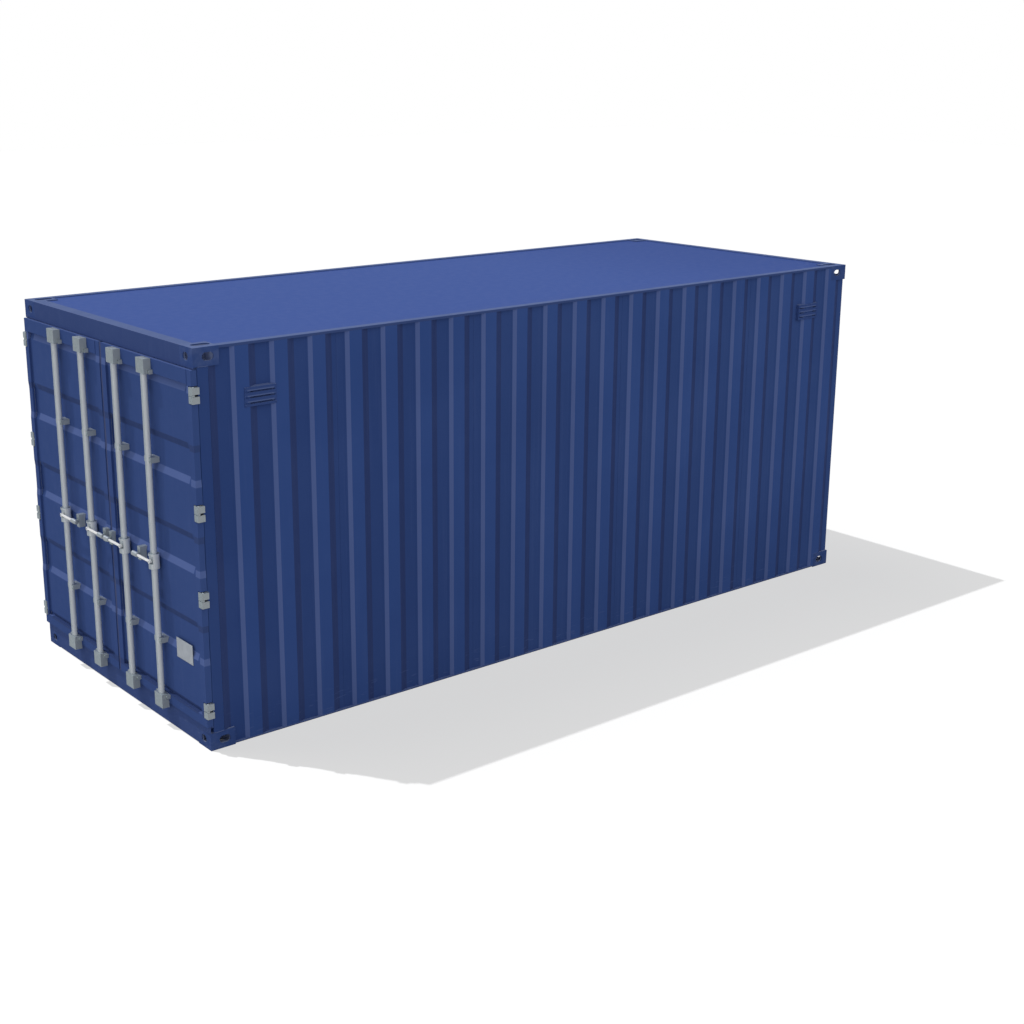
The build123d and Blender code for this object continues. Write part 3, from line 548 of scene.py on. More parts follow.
@dataclass(frozen=True)
class FloorPlywood(Finish):
    """Container floor plywood: hardwood veneer under a worn phenolic film.

    To the eye it is warm brown with long grain about 6 mm wide, butt joints where the
    sheets meet, and dark tyre scuffs along the load path.
    """

    name: str = "hardwood_floor_plywood"
    wood: str = "#8A6441"
    grain: str = "#5F4129"
    scuff: str = "#3A2C22"
    sheet_length: float = 2.4
    sheet_width: float = 1.2
    joint: float = 0.0025
    grain_mm: float = 6.0
    cloud_mm: float = 400.0
    track_mm: float = 70.0
    grain_depth_mm: float = 0.3
    grain_stretch: Triple = (0.02, 1.0, 1.0)
    track_stretch: Triple = (0.08, 1.0, 1.0)
    grain_reach: Pair = (0.35, 0.65)
    cloud_reach: Reach = (0.4, 0.7, 0.0, 0.4)
    track_reach: Reach = (0.55, 0.72, 0.0, 0.55)
    roughness: Reach = (0.3, 0.7, 0.55, 0.75)
    sheen: float = 0.3

    def lay(self, nodes: Recipe) -> None:
        """Lay the veneer's grain, the tyre scuffs and the sheets' joints.

        Args:
            nodes: The material's recipe.
        """
        grain = nodes.patches(self.grain_mm, 5.0, self.grain_stretch)
        clouds = nodes.patches(self.cloud_mm)
        tracks = nodes.patches(self.track_mm, 5.0, self.track_stretch)
        sheets = {"Vector": nodes.where, "Scale": 1.0, "Mortar Size": self.joint, "Mortar Smooth": 0.0}
        sheets.update({"Brick Width": self.sheet_length, "Row Height": self.sheet_width})
        joints = nodes.add("TexBrick", sheets, "Fac", offset=0.0)
        colour = nodes.cover(self.wood, self.grain, grain, *self.grain_reach)
        colour = nodes.cover(colour, self.grain, clouds, *self.cloud_reach)
        colour = nodes.cover(colour, self.scuff, tracks, *self.track_reach)
        colour = nodes.cover(colour, self.scuff, joints)
        rough = nodes.add("MapRange", (clouds, *self.roughness))
        nodes.close(colour, rough, grain, self.grain_depth_mm, Specular_IOR_Level=self.sheen)


LIGHT_GREY_INSIDE = "#A9ADAB"
BLUE = "#3D548D"
RECESS_BLUE = "#39528C"
SHADED_BLUE = "#334B85"
OUTER_FLAT_BLUE = "#3D5CA0"
# Pale blue of the painted highlight on faces that look up, also used for chalking
LEDGE = "#5D6E9C"
# Walls: coat, painted highlight of the pale slopes, painted shade of the dark slopes
WALL_COATS = (RECESS_BLUE, "#5A6DA4", "#334374")
WALL_EXTRAS = {"crown": OUTER_FLAT_BLUE, "inner_coat": LIGHT_GREY_INSIDE}

FINISHES: dict[str, Finish] = {
    # The right wall darkens towards the doors: a painted shade gradient
    "right_wall": FoldedSheetPaint(
        "sheet_paint_right", *WALL_COATS, **WALL_EXTRAS, inner_from=(0.0, 1.0, 0.0),
        faded=SHADED_BLUE, fade_reach=(1.5, DOOR_X),
    ),
    "left_wall": FoldedSheetPaint(
        "sheet_paint_left", *WALL_COATS, **WALL_EXTRAS, inner_from=(0.0, -1.0, 0.0),
    ),
    "front_wall": FoldedSheetPaint(
        "sheet_paint_front", *WALL_COATS, **WALL_EXTRAS, inner_from=(-1.0, 0.0, 0.0),
        axis="Y", start=-1.1128, pitch=0.2782,
    ),
    # Doors: second and third colours are the painted highlight and painted shade of the swage bands
    "door": FoldedSheetPaint(
        "door_paint", BLUE, "#5A6EA6", "#3A4C7D", inner_coat=LIGHT_GREY_INSIDE, inner_from=(1.0, 0.0, 0.0),
        axis="Z", start=0.222, pitch=0.578, shade_band=(0.0, 0.044), pale_band=(0.359, 0.404),
        bare_strip=(1.109, 1.162),
    ),
    # For posts, frames and sills the second colour is the painted highlight and the third the painted shade
    "post": MarinePaint("post_paint", SHADED_BLUE, LEDGE, "#32467D", streaks=0.08),
    "frame": MarinePaint("frame_paint", "#3E5185", LEDGE, "#35467A", streaks=0.08),
    "sill": MarinePaint("sill_paint", "#42568C", LEDGE, "#3B4D82", streaks=0.08),
    # Castings: painted highlight on tops; the third colour is painted light in the pockets, also laid in
    # patches
    "casting": CastCornerPaint(
        "cast_corner_paint", SHADED_BLUE, LEDGE, "#8C99BC", slope=(0.5, 0.9), patches_mm=90.0,
    ),
    # The roof darkens towards the front: a painted shade gradient
    "roof": MarinePaint(
        "roof_paint", "#455DA0", "#465EA1", "#435B9E", slope=(0.2, 0.5), chalk_share=0.0,
        inner_coat=LIGHT_GREY_INSIDE, inner_from=(0.0, 0.0, -1.0), patches_mm=1400.0,
        faded="#3D5495", fade_reach=(0.5, FRONT_X),
    ),
    "vent": MarinePaint("vent_paint", "#384E86", LEDGE, "#2A3A6C", slope=(0.2, 0.45)),
    "underframe": MarinePaint(
        "bitumen_underseal", "#23262A", "#4C4D4C", "#191A1C", chalk_share=0.3, sheen=0.3, roughness=0.72,
    ),
    # Bars and forgings carry a pale painted highlight on their flanks
    "bar": GalvanisedSteel("galvanised_bar", "#959EA5", "#A0A9B0", 0.9, 0.5, dust="#A4AEB5", flank="#E2E7EA"),
    "fitting": GalvanisedSteel(
        "galvanised_forging", "#8A959B", "#959FA5", 0.8, 0.55, dust="#AEB8BF", flank="#A2ABB1",
    ),
    "handle": GalvanisedSteel("bright_zinc_rod", "#F1F2F3", "#FFFFFF", 0.15, 0.38, dust="#FFFFFF"),
    "grip": GalvanisedSteel("galvanised_grip", "#989FA4", "#A3AAAE", 0.8, 0.55),
    "plate": GalvanisedSteel("blank_aluminium_plate", "#9AA0A8", "#A4AAB2", 0.9, 0.5, 40.0, 0.05),
    "rubber": SealRubber(),
    # The lap seal is coloured the dark blue of the shade in the gap between the leaves: painted shade
    "lap_rubber": SealRubber("dusty_lap_seal", "#2C3A68", "#35457A"),
    "plywood": FloorPlywood(),
}
MATERIALS: dict[str, bpy.types.Material] = {}


def finish(key: str) -> bpy.types.Material:
    """Give a finish's material, made the first time that it is asked for.

    Args:
        key: The finish's key in FINISHES.

    Returns:
        The material.
    """
    if key not in MATERIALS:
        MATERIALS[key] = FINISHES[key].build()
    return MATERIALS[key]


def dress(node: str, key: str) -> None:
    """Give a frame node its finish.

    Args:
        node: The node's name.
        key: The finish's key.
    """
    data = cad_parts[node].data
    data.materials.clear()
    data.materials.append(finish(key))
    LOG.info("dressed %s in %s", node, FINISHES[key].name)


def lathe(profile: Sequence[Pair], foot: Triple, axis: Triple, steps: int = 24) -> np.ndarray:
    """Turn a profile round an axis.

    The point at angle a is foot + along * axis + radius * (cos a * u + sin a * v),
    where u and v are two unit vectors square to the axis.

    Args:
        profile: (radius, along) pairs.
        foot: Where along is zero.
        axis: The unit axis.
        steps: How many points there are round it.

    Returns:
        A grid of points, one row per pair, to be closed round its columns.
    """
    along_axis = np.array(axis, float)
    helper = np.array(UP if abs(along_axis[2]) < 0.9 else (1.0, 0.0, 0.0))
    u = np.cross(along_axis, helper)
    u /= np.linalg.norm(u)
    v = np.cross(along_axis, u)
    angles = np.linspace(0, 2 * math.pi, steps, endpoint=False)
    ring = np.outer(np.cos(angles), u) + np.outer(np.sin(angles), v)
    pairs = np.array(profile, float)
    centre = np.array(foot, float) + pairs[:, 1, None] * along_axis
    return centre[:, None, :] + pairs[:, 0, None, None] * ring[None, :, :]


def weld_bead(start: Triple, end: Triple, width: float = 0.007, ripple: float = 0.011) -> np.ndarray:
    """Lay a rippled weld bead along a straight joint.

    The bead's radius at a distance s is half the width times 0.85 plus 0.22 of
    |sin(pi s / ripple)|, and its centre wanders by a twentieth of the width. Each ripple
    has two points, and the random draw follows from how many there are.

    Args:
        start: Where the bead starts.
        end: Where it ends.
        width: Its mean width.
        ripple: The length of one ripple.

    Returns:
        A grid of points with both ends closed, to be closed round its columns.
    """
    first, last = np.array(start, float), np.array(end, float)
    length = float(np.linalg.norm(last - first))
    axis = (last - first) / length
    count = max(8, int(length / ripple * 2))
    along = np.linspace(0, length, count)
    wander = np.random.default_rng(SEED + count).normal(0, width * 0.05, (count, 3))
    radius = width / 2 * (0.85 + 0.22 * np.abs(np.sin(math.pi * along / ripple)))
    radius[0] = radius[-1] = 0.0
    ring = lathe([(1.0, 0.0)], (0.0, 0.0, 0.0), tuple(axis), 6)[0]
    centre = first + along[:, None] * axis + wander
    return centre[:, None, :] + radius[:, None, None] * ring[None, :, :]


def dome(place: Triple, axis: Triple, radius: float, height: float) -> np.ndarray:
    """Make a domed head: a quarter ellipse turned round its axis, closed at both poles.

    Args:
        place: The middle of its flat foot.
        axis: The way that it points.
        radius: The foot's radius.
        height: How far it stands proud.

    Returns:
        A grid of points, to be closed round its columns.
    """
    angles = np.linspace(0, math.pi / 2, 5)
    arc = [(radius * math.cos(a), height * math.sin(a)) for a in angles]
    return lathe([(0.0, 0.0), *arc], place, axis, 12)


@dataclass
class Surface:
    """Grids of points gathered into one mesh."""

    points: list[np.ndarray] = field(default_factory=list)
    faces: list[np.ndarray] = field(default_factory=list)
    count: int = 0

    def add(self, grid: np.ndarray, close_rows: bool = False, close_columns: bool = True) -> None:
        """Add a grid; each cell between two rows and two columns is one face.

        Args:
            grid: Points, with a shape of rows, columns and 3.
            close_rows: Whether the last row joins the first.
            close_columns: Whether the last column joins the first.
        """
        index = np.arange(grid[..., 0].size).reshape(grid.shape[:2]) + self.count
        if close_rows:
            index = np.vstack([index, index[:1]])
        if close_columns:
            index = np.hstack([index, index[:, :1]])
        cells = [index[:-1, :-1], index[1:, :-1], index[1:, 1:], index[:-1, 1:]]
        self.points.append(grid.reshape(-1, 3))
        self.faces.append(np.stack(cells, axis=-1).reshape(-1, 4))
        self.count += grid[..., 0].size

    def mesh(self, name: str) -> bpy.types.Mesh:
        """Make the gathered grids one mesh.

        Args:
            name: The mesh's name.

        Returns:
            The mesh, as the grids give it.
        """
        mesh = bpy.data.meshes.new(name)
        mesh.from_pydata(np.concatenate(self.points).tolist(), [], np.concatenate(self.faces).tolist())
        return mesh

    def piece(self, name: str, body: str, slot: str, key: str, crease: float = 35.0) -> bpy.types.Object:
        """Make the gathered grids one finished piece.

        Args:
            name: The piece's name.
            body: The body that it rides on.
            slot: Not used.
            key: The finish's key.
            crease: Edges sharper than this many degrees stay crisp.

        Returns:
            The piece, with its place in its mesh.
        """
        mesh = self.mesh(name)
        clean(mesh, crease)
        return settle(mesh, name, body, key)


def clean(mesh: bpy.types.Mesh, crease: float) -> None:
    """Join a mesh's doubles, turn its faces outwards and smooth all but its sharp edges.

    Args:
        mesh: The mesh.
        crease: Edges sharper than this many degrees stay crisp.
    """
    work = bmesh.new()
    work.from_mesh(mesh)
    bmesh.ops.remove_doubles(work, verts=work.verts, dist=DOUBLES_WITHIN)
    bmesh.ops.dissolve_degenerate(work, edges=work.edges, dist=SLIVERS_WITHIN)
    bmesh.ops.recalc_face_normals(work, faces=work.faces)
    work.to_mesh(mesh)
    work.free()
    mesh.polygons.foreach_set("use_smooth", np.ones(len(mesh.polygons), bool))
    mesh.set_sharp_from_angle(angle=math.radians(crease))


def weigh_normals(mesh: bpy.types.Mesh, crease: float) -> None:
    """Let big flat faces keep their own shading up to their rolled edges.

    Each corner's normal is the sum of area times normal over the faces that meet its
    vertex within the crease angle, so that only the narrow rolled faces bend the light.

    Args:
        mesh: The mesh.
        crease: Faces that turn by more than this many degrees stay apart.
    """
    corner_count, face_count = len(mesh.loops), len(mesh.polygons)
    vertex, total = np.empty(corner_count, np.int32), np.empty(face_count, np.int32)
    normal, area = np.empty(face_count * 3), np.empty(face_count)
    mesh.loops.foreach_get("vertex_index", vertex)
    for name, values in (("loop_total", total), ("normal", normal), ("area", area)):
        mesh.polygons.foreach_get(name, values)
    owner = np.repeat(np.arange(len(total)), total)
    order = np.argsort(vertex, kind="stable")
    at, faces = vertex[order], normal.reshape(-1, 3)[owner[order]]
    weight = faces * area[owner[order], None]
    summed = weight.copy()
    limit = math.cos(math.radians(crease))
    step = 1
    while np.any(at[step:] == at[:-step]):
        first = np.flatnonzero(at[step:] == at[:-step])
        second = first + step
        near = np.sum(faces[first] * faces[second], axis=1) > limit
        np.add.at(summed, first[near], weight[second[near]])
        np.add.at(summed, second[near], weight[first[near]])
        step += 1
    corners = np.empty_like(summed)
    corners[order] = summed / np.linalg.norm(summed, axis=1, keepdims=True)
    mesh.normals_split_custom_set(corners.tolist())


def stand(name: str, data: Any) -> bpy.types.Object:
    """Put a mesh, a lamp or a camera into the scene.

    Args:
        name: The object's name.
        data: The mesh, lamp or camera.

    Returns:
        The object, at the origin.
    """
    thing = bpy.data.objects.new(name, data)
    bpy.context.scene.collection.objects.link(thing)
    return thing


def settle(mesh: bpy.types.Mesh, name: str, body: str, key: str) -> bpy.types.Object:
    """Put a mesh into the scene as a piece that rides on a body.

    Args:
        mesh: The finished mesh.
        name: The piece's name.
        body: The body that it rides on.
        key: The finish's key.

    Returns:
        The piece.
    """
    mesh.materials.append(finish(key))
    piece = stand(name, mesh)
    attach(piece, body)
    LOG.info("made %s with %d faces", name, len(mesh.polygons))
    return piece


def softened(
    node: str, name: str, body: str, key: str, width: float, steps: int = 2
) -> bpy.types.Object:
    """Stand a copy of a frame node, with its sharp edges rolled, in the node's place.

    Args:
        node: The node's name.
        name: The new piece's name.
        body: The body that it rides on.
        key: The finish's key.
        width: How wide the rolled edges are.
        steps: How many faces there are across one.

    Returns:
        The piece.
    """
    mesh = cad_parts[node].data.copy()
    mesh.materials.clear()
    work = bmesh.new()
    work.from_mesh(mesh)
    bmesh.ops.remove_doubles(work, verts=work.verts, dist=COPY_DOUBLES_WITHIN)
    bmesh.ops.dissolve_limit(
        work, angle_limit=math.radians(FLAT_WITHIN), verts=work.verts, edges=work.edges
    )
    least = math.radians(ROLLED_FROM)
    sharp = [e for e in work.edges if len(e.link_faces) == 2 and e.calc_face_angle(0.0) > least]
    bmesh.ops.bevel(
        work, geom=sharp, offset=width, segments=steps, profile=0.5, affect="EDGES", clamp_overlap=True
    )
    work.to_mesh(mesh)
    work.free()
    clean(mesh, ROLLED_CREASE)
    weigh_normals(mesh, ROLLED_CREASE)
    piece = settle(mesh, name, body, key)
    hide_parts(node)
    return piece


@dataclass
class CornerCastings:
    """The eight cast corner fittings."""

    edge: float = 0.006

    def build(self) -> None:
        """Roll the castings' edges as a foundry leaves them."""
        for end in ("door", "front"):
            for side in Side:
                for level in ("bottom", "top"):
                    node = f"{end}_{side.word}_{level}_casting"
                    softened(node, f"cast_{node}", "root", "casting", self.edge)


@dataclass
class EndFrames:
    """Posts, sill, header and end rails with their corner welds."""

    post_setback: float = 0.026
    post_depth: float = 0.076
    post_width: float = 0.060
    casting_height: float = 0.118
    edge: float = 0.003

    def build(self) -> None:
        """Dress the end frames and lay their welds."""
        for end in ("door", "front"):
            for side in Side:
                node = f"{end}_{side.word}_post"
                softened(node, f"rolled_{node}", "root", "post", self.edge)
        for node in ("door_sill", "door_header", "front_bottom_rail", "front_top_rail"):
            key = "sill" if node == "door_sill" else "frame"
            softened(node, f"rolled_{node}", "root", key, self.edge)
        self.lay_welds()

    def lay_welds(self) -> None:
        """Run a bead round the joint of each door post and each casting."""
        beads = Surface()
        x_near = DOOR_X + self.post_setback
        x_far = x_near + self.post_depth
        for side in Side:
            outer, inner = side.value * SIDE_Y, side.value * (SIDE_Y - self.post_width)
            for z in (self.casting_height, HEIGHT - self.casting_height):
                beads.add(weld_bead((x_near, outer, z), (x_far, outer, z)))
                beads.add(weld_bead((x_near, outer, z), (x_near, inner, z)))
        beads.piece("post_weld_beads", "root", "painted_frame", "post")


@dataclass
class SideWalls:
    """The corrugated long sides, their rails and the panels' weld seams."""

    slope: float = 0.0421
    half_flat: float = 0.048
    depth: float = 0.018
    sheet: float = 0.002
    seam_bays: tuple[int, ...] = (3, 7, 12, 17)
    seam_width: float = 0.003
    rail_bead: Pair = (0.008, 0.016)
    rail_top: float = 0.017
    lip_bottom: float = 2.574
    rail_edge: float = 0.002

    def build(self) -> None:
        """Dress the sides, roll the rails' edges and lay the seams."""
        for side in Side:
            dress(f"{side.word}_side_wall", f"{side.word}_wall")
            for level in ("top", "bottom"):
                node = f"{side.word}_{level}_rail"
                softened(node, f"rolled_{node}", "root", "frame", self.rail_edge)
            self.lay_seams(side)

    def lay_seams(self, side: Side) -> None:
        """Run beads along the rails and up the joints between pressed panels.

        Args:
            side: Which long side.
        """
        beads = Surface()
        recess = side.value * (SIDE_Y - self.depth)
        for bay in self.seam_bays:
            x = FOLD_START + bay * FOLD_PITCH + self.slope + self.half_flat
            beads.add(weld_bead((x, recess, self.rail_top), (x, recess, self.lip_bottom), self.seam_width))
        inner = side.value * (SIDE_Y - self.depth - self.sheet)
        x_near, x_far = DOOR_X + CASTING_LENGTH, FRONT_X - CASTING_LENGTH
        for z in (self.rail_top, self.lip_bottom):
            beads.add(weld_bead((x_near, inner, z), (x_far, inner, z), *self.rail_bead))
        beads.piece(f"{side.word}_wall_weld_seams", "root", "painted_sheet", f"{side.word}_wall")


@dataclass
class FrontWall:
    """The corrugated blind end."""

    def build(self) -> None:
        """Dress the blind end's sheet."""
        dress("front_wall", "front_wall")


@dataclass
class Roof:
    """The roof sheet with its edge welds."""

    recess: float = 0.008
    rail: float = 0.064
    header: float = 0.090
    end_half: float = 1.05
    bead: Pair = (0.009, 0.018)

    def build(self) -> None:
        """Dress the sheet and weld it to the rails."""
        dress("roof_sheet", "roof")
        beads = Surface()
        z = HEIGHT - self.recess
        x_near, x_far = DOOR_X + CASTING_LENGTH, FRONT_X - CASTING_LENGTH
        for side in Side:
            y = side.value * (SIDE_Y - self.rail)
            beads.add(weld_bead((x_near, y, z), (x_far, y, z), *self.bead))
        for x in (DOOR_X + self.header, FRONT_X - self.rail):
            beads.add(weld_bead((x, -self.end_half, z), (x, self.end_half, z), *self.bead))
        beads.piece("roof_weld_seams", "root", "painted_roof", "roof")


@dataclass
class Ventilators:
    """Four pressed louvre covers, one near each end of both long sides."""

    from_end: float = 0.454
    middle: float = 2.250
    width: float = 0.236
    height: float = 0.131
    proud: float = 0.008
    louvres: int = 3
    louvre_length: float = 0.200
    louvre_pitch: float = 0.036
    hood: float = 0.004
    hood_rise: float = 0.010
    mouth: float = 0.012
    mouth_start: float = -0.0105
    grid_marks: tuple[float, ...] = (-0.011, -0.010, -0.002, 0.0, 0.005, 0.010)
    fade: float = 0.008
    rim: float = 0.003
    brow: float = 0.008
    tuck: float = 0.020
    touch: float = 1e-6
    rivet_inset: Pair = (0.011, 0.012)
    rivet: Pair = (0.0045, 0.002)

    def cover(self, side: Side, x_middle: float) -> np.ndarray:
        """Press one cover out of a flat sheet.

        The height over the plate is, for each louvre, a ramp that rises to the hood's
        height towards its lower edge, falls at once below the plate at the mouth, and
        comes back, times a share that fades to nothing at the louvre's two ends. The
        sheet turns back to the side's outer plane over its rim, or its brow at the top, and
        its outermost row and column are tucked in behind that plane.

        Args:
            side: Which long side.
            x_middle: The cover's middle.

        Returns:
            A grid of points, open at its rim.
        """
        u = np.linspace(-self.width / 2, self.width / 2, 49)
        lows = [(index - (self.louvres - 1) / 2) * self.louvre_pitch for index in range(self.louvres)]
        marks = [-self.height / 2, -self.height / 2 + self.rim]
        marks += [low + mark for low in lows for mark in self.grid_marks]
        marks += [self.height / 2 - self.brow, self.height / 2]
        v = np.array(sorted(marks))
        lift = np.zeros_like(v)
        for low in lows:
            above = np.clip((low + self.hood_rise - v) / self.hood_rise, 0, 1)
            lift += np.where(v >= low - self.touch, above * self.hood, 0.0)
            lift -= np.where((v > low + self.mouth_start) & (v < low - self.touch), self.mouth, 0.0)
        fade = np.clip((self.louvre_length / 2 + self.fade / 2 - np.abs(u)) / self.fade, 0, 1)
        out = self.proud - self.hood + np.outer(lift, fade)
        edge_u = np.minimum(1, (self.width / 2 - np.abs(u)) / self.rim)
        edge_v = np.minimum(1, (self.height / 2 - np.abs(v)) / np.where(v > 0, self.brow, self.rim))
        turned = np.outer(edge_v, edge_u)
        out = out * turned - self.tuck * (turned == 0)
        grid = np.empty((len(v), len(u), 3))
        grid[:, :, 0] = x_middle + u[None, :]
        grid[:, :, 1] = side.value * (SIDE_Y + out)
        grid[:, :, 2] = self.middle + v[:, None]
        return grid

    def build(self) -> None:
        """Make the four covers with their rivets."""
        covers = Surface()
        for side in Side:
            for x in (DOOR_X + self.from_end, FRONT_X - self.from_end):
                covers.add(self.cover(side, x), close_columns=False)
                y = side.value * (SIDE_Y + self.proud - self.hood)
                for across in (-1, 1):
                    for up in (-1, 0, 1):
                        head_x = x + across * (self.width / 2 - self.rivet_inset[0])
                        head_z = self.middle + up * (self.height / 2 - self.rivet_inset[1])
                        outward = (0.0, float(side.value), 0.0)
                        covers.add(dome((head_x, y, head_z), outward, *self.rivet))
        piece = covers.piece("louvred_ventilators", "root", "painted_sheet", "vent")
        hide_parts("ventilators")


@dataclass
class Hinges:
    """One door's hinge lugs and the heads of its pins."""

    side: Side
    heights: tuple[float, ...] = (0.277, 1.017, 1.573, 2.307)
    half: float = 0.050
    pin_forward: float = 0.012
    pin_outboard: float = 0.010
    head_radius: float = 0.0085
    head_height: float = 0.004
    foot_height: float = 0.003
    edge: float = 0.003

    def build(self) -> None:
        """Roll the lugs' edges and add the pins' heads."""
        word = self.side.word
        softened(f"{word}_hinge_lugs", f"{word}_forged_lugs", "root", "fitting", self.edge)
        heads = Surface()
        x, y = DOOR_X - self.pin_forward, self.side.value * (SIDE_Y + self.pin_outboard)
        for z in self.heights:
            heads.add(dome((x, y, z + self.half), UP, self.head_radius, self.head_height))
            heads.add(dome((x, y, z - self.half), (0.0, 0.0, -1.0), self.head_radius, self.foot_height))
        heads.piece(f"{word}_hinge_pin_heads", "root", "zinc_fittings", "fitting")


@dataclass
class DoorLeaf:
    """One door leaf: frame, ribbed panel, seal and the fixed parts of its lock gear."""

    side: Side
    centre_gap: float = 0.014
    stile: float = 0.057
    bottom_rail: float = 0.072
    top_rail: float = 0.090
    seal_inset: float = 0.039
    seal_width: float = 0.025
    seal_inner: float = 0.0003
    lap_clearance: float = 0.005
    lap_seat: float = 0.0001
    lap_bulge: float = 0.0005
    lap_front: float = 0.004
    lap_back: float = 0.012
    lap_below_top: float = 0.001
    weld_back: float = 0.017
    weld_width: float = 0.005
    fittings_edge: float = 0.0025

    def build(self) -> None:
        """Dress the leaf, run its seals and lay its welds."""
        word, body = self.side.word, f"{self.side.word}_door"
        dress(f"{word}_door_frame", "door")
        dress(f"{word}_door_panel", "door")
        node, name = f"{word}_door_fittings", f"{word}_forged_fittings"
        softened(node, name, body, "fitting", self.fittings_edge)
        self.build_seal(body)
        self.lay_welds(body)
        if self.side is Side.RIGHT:
            self.build_lap_seal(body)

    def build_seal(self, body: str) -> None:
        """Run the seal's ribbed section round the leaf's back.

        Each point of the section is an inset and a thickness. It becomes a rectangle
        that lies that far inside the seal's outer edge, that thick behind the leaf.

        Args:
            body: The body that the seal rides on.
        """
        section = [
            (0.0, 0.0), (0.0, 0.0016), (0.002, 0.0026), (0.005, 0.0026), (0.007, 0.0013), (0.011, 0.0011),
            (0.0125, 0.0022), (0.014, 0.0011), (0.018, 0.0013), (0.020, 0.0026), (0.023, 0.0026),
            (self.seal_width, 0.0015), (self.seal_width, 0.0),
        ]
        outer, inner = SIDE_Y - self.seal_inset, self.seal_inner
        grid = np.empty((len(section), 4, 3))
        for row, (inset, thick) in enumerate(section):
            ys = np.array([outer - inset, inner + inset, inner + inset, outer - inset]) * self.side.value
            zs = np.array([LEAF_BOTTOM + inset, LEAF_BOTTOM + inset, LEAF_TOP - inset, LEAF_TOP - inset])
            grid[row] = np.stack([np.full(4, LEAF_BACK + thick), ys, zs], axis=-1)
        seal = Surface()
        seal.add(grid, close_rows=True)
        piece = seal.piece(f"{self.side.word}_door_seal", body, "rubber_gasket", "rubber", 60.0)
        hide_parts(f"{self.side.word}_door_gasket")

    def build_lap_seal(self, body: str) -> None:
        """Run the flat seal that covers the gap between the leaves.

        The seal is fixed to this leaf's edge and stops 5 mm short of the other leaf. Its
        section is a rectangle whose front bulges by a parabola, half a millimetre high, and
        its two ends are closed to a point in the middle of the section.

        Args:
            body: The body that the seal rides on.
        """
        sign = self.side.value
        across = np.linspace(self.centre_gap - self.lap_seat, self.lap_clearance - self.centre_gap, 9)
        middle, half = (across[0] + across[-1]) / 2, (across[0] - across[-1]) / 2
        bulge = self.lap_bulge * (1 - ((across - middle) / half) ** 2)
        xs = np.append(LEAF_FACE + self.lap_front - bulge, [LEAF_FACE + self.lap_back] * 2)
        section = np.stack([xs, np.append(across, across[[-1, 0]]) * sign], axis=-1)
        levels = np.array([LEAF_BOTTOM] * 2 + [LEAF_TOP - self.lap_below_top] * 2)
        grid = np.empty((4, len(section), 3))
        grid[:, :, :2] = section[None]
        grid[:, :, 2] = levels[:, None]
        grid[0, :, :2] = grid[3, :, :2] = (LEAF_FACE + (self.lap_front + self.lap_back) / 2, middle * sign)
        seal = Surface()
        seal.add(grid)
        seal.piece("door_lap_seal", body, "rubber_gasket", "lap_rubber", 40.0)

    def lay_welds(self, body: str) -> None:
        """Run beads between the panel and the stiles.

        Args:
            body: The body that the beads ride on.
        """
        beads = Surface()
        sign = self.side.value
        outer, inner = sign * (SIDE_Y - self.stile), sign * (self.centre_gap + self.stile)
        low, high = LEAF_BOTTOM + self.bottom_rail, LEAF_TOP - self.top_rail
        x = LEAF_FACE + self.weld_back
        for y in (outer, inner):
            beads.add(weld_bead((x, y, low), (x, y, high), self.weld_width))
        beads.piece(f"{self.side.word}_leaf_weld_beads", body, "painted_sheet", "door")


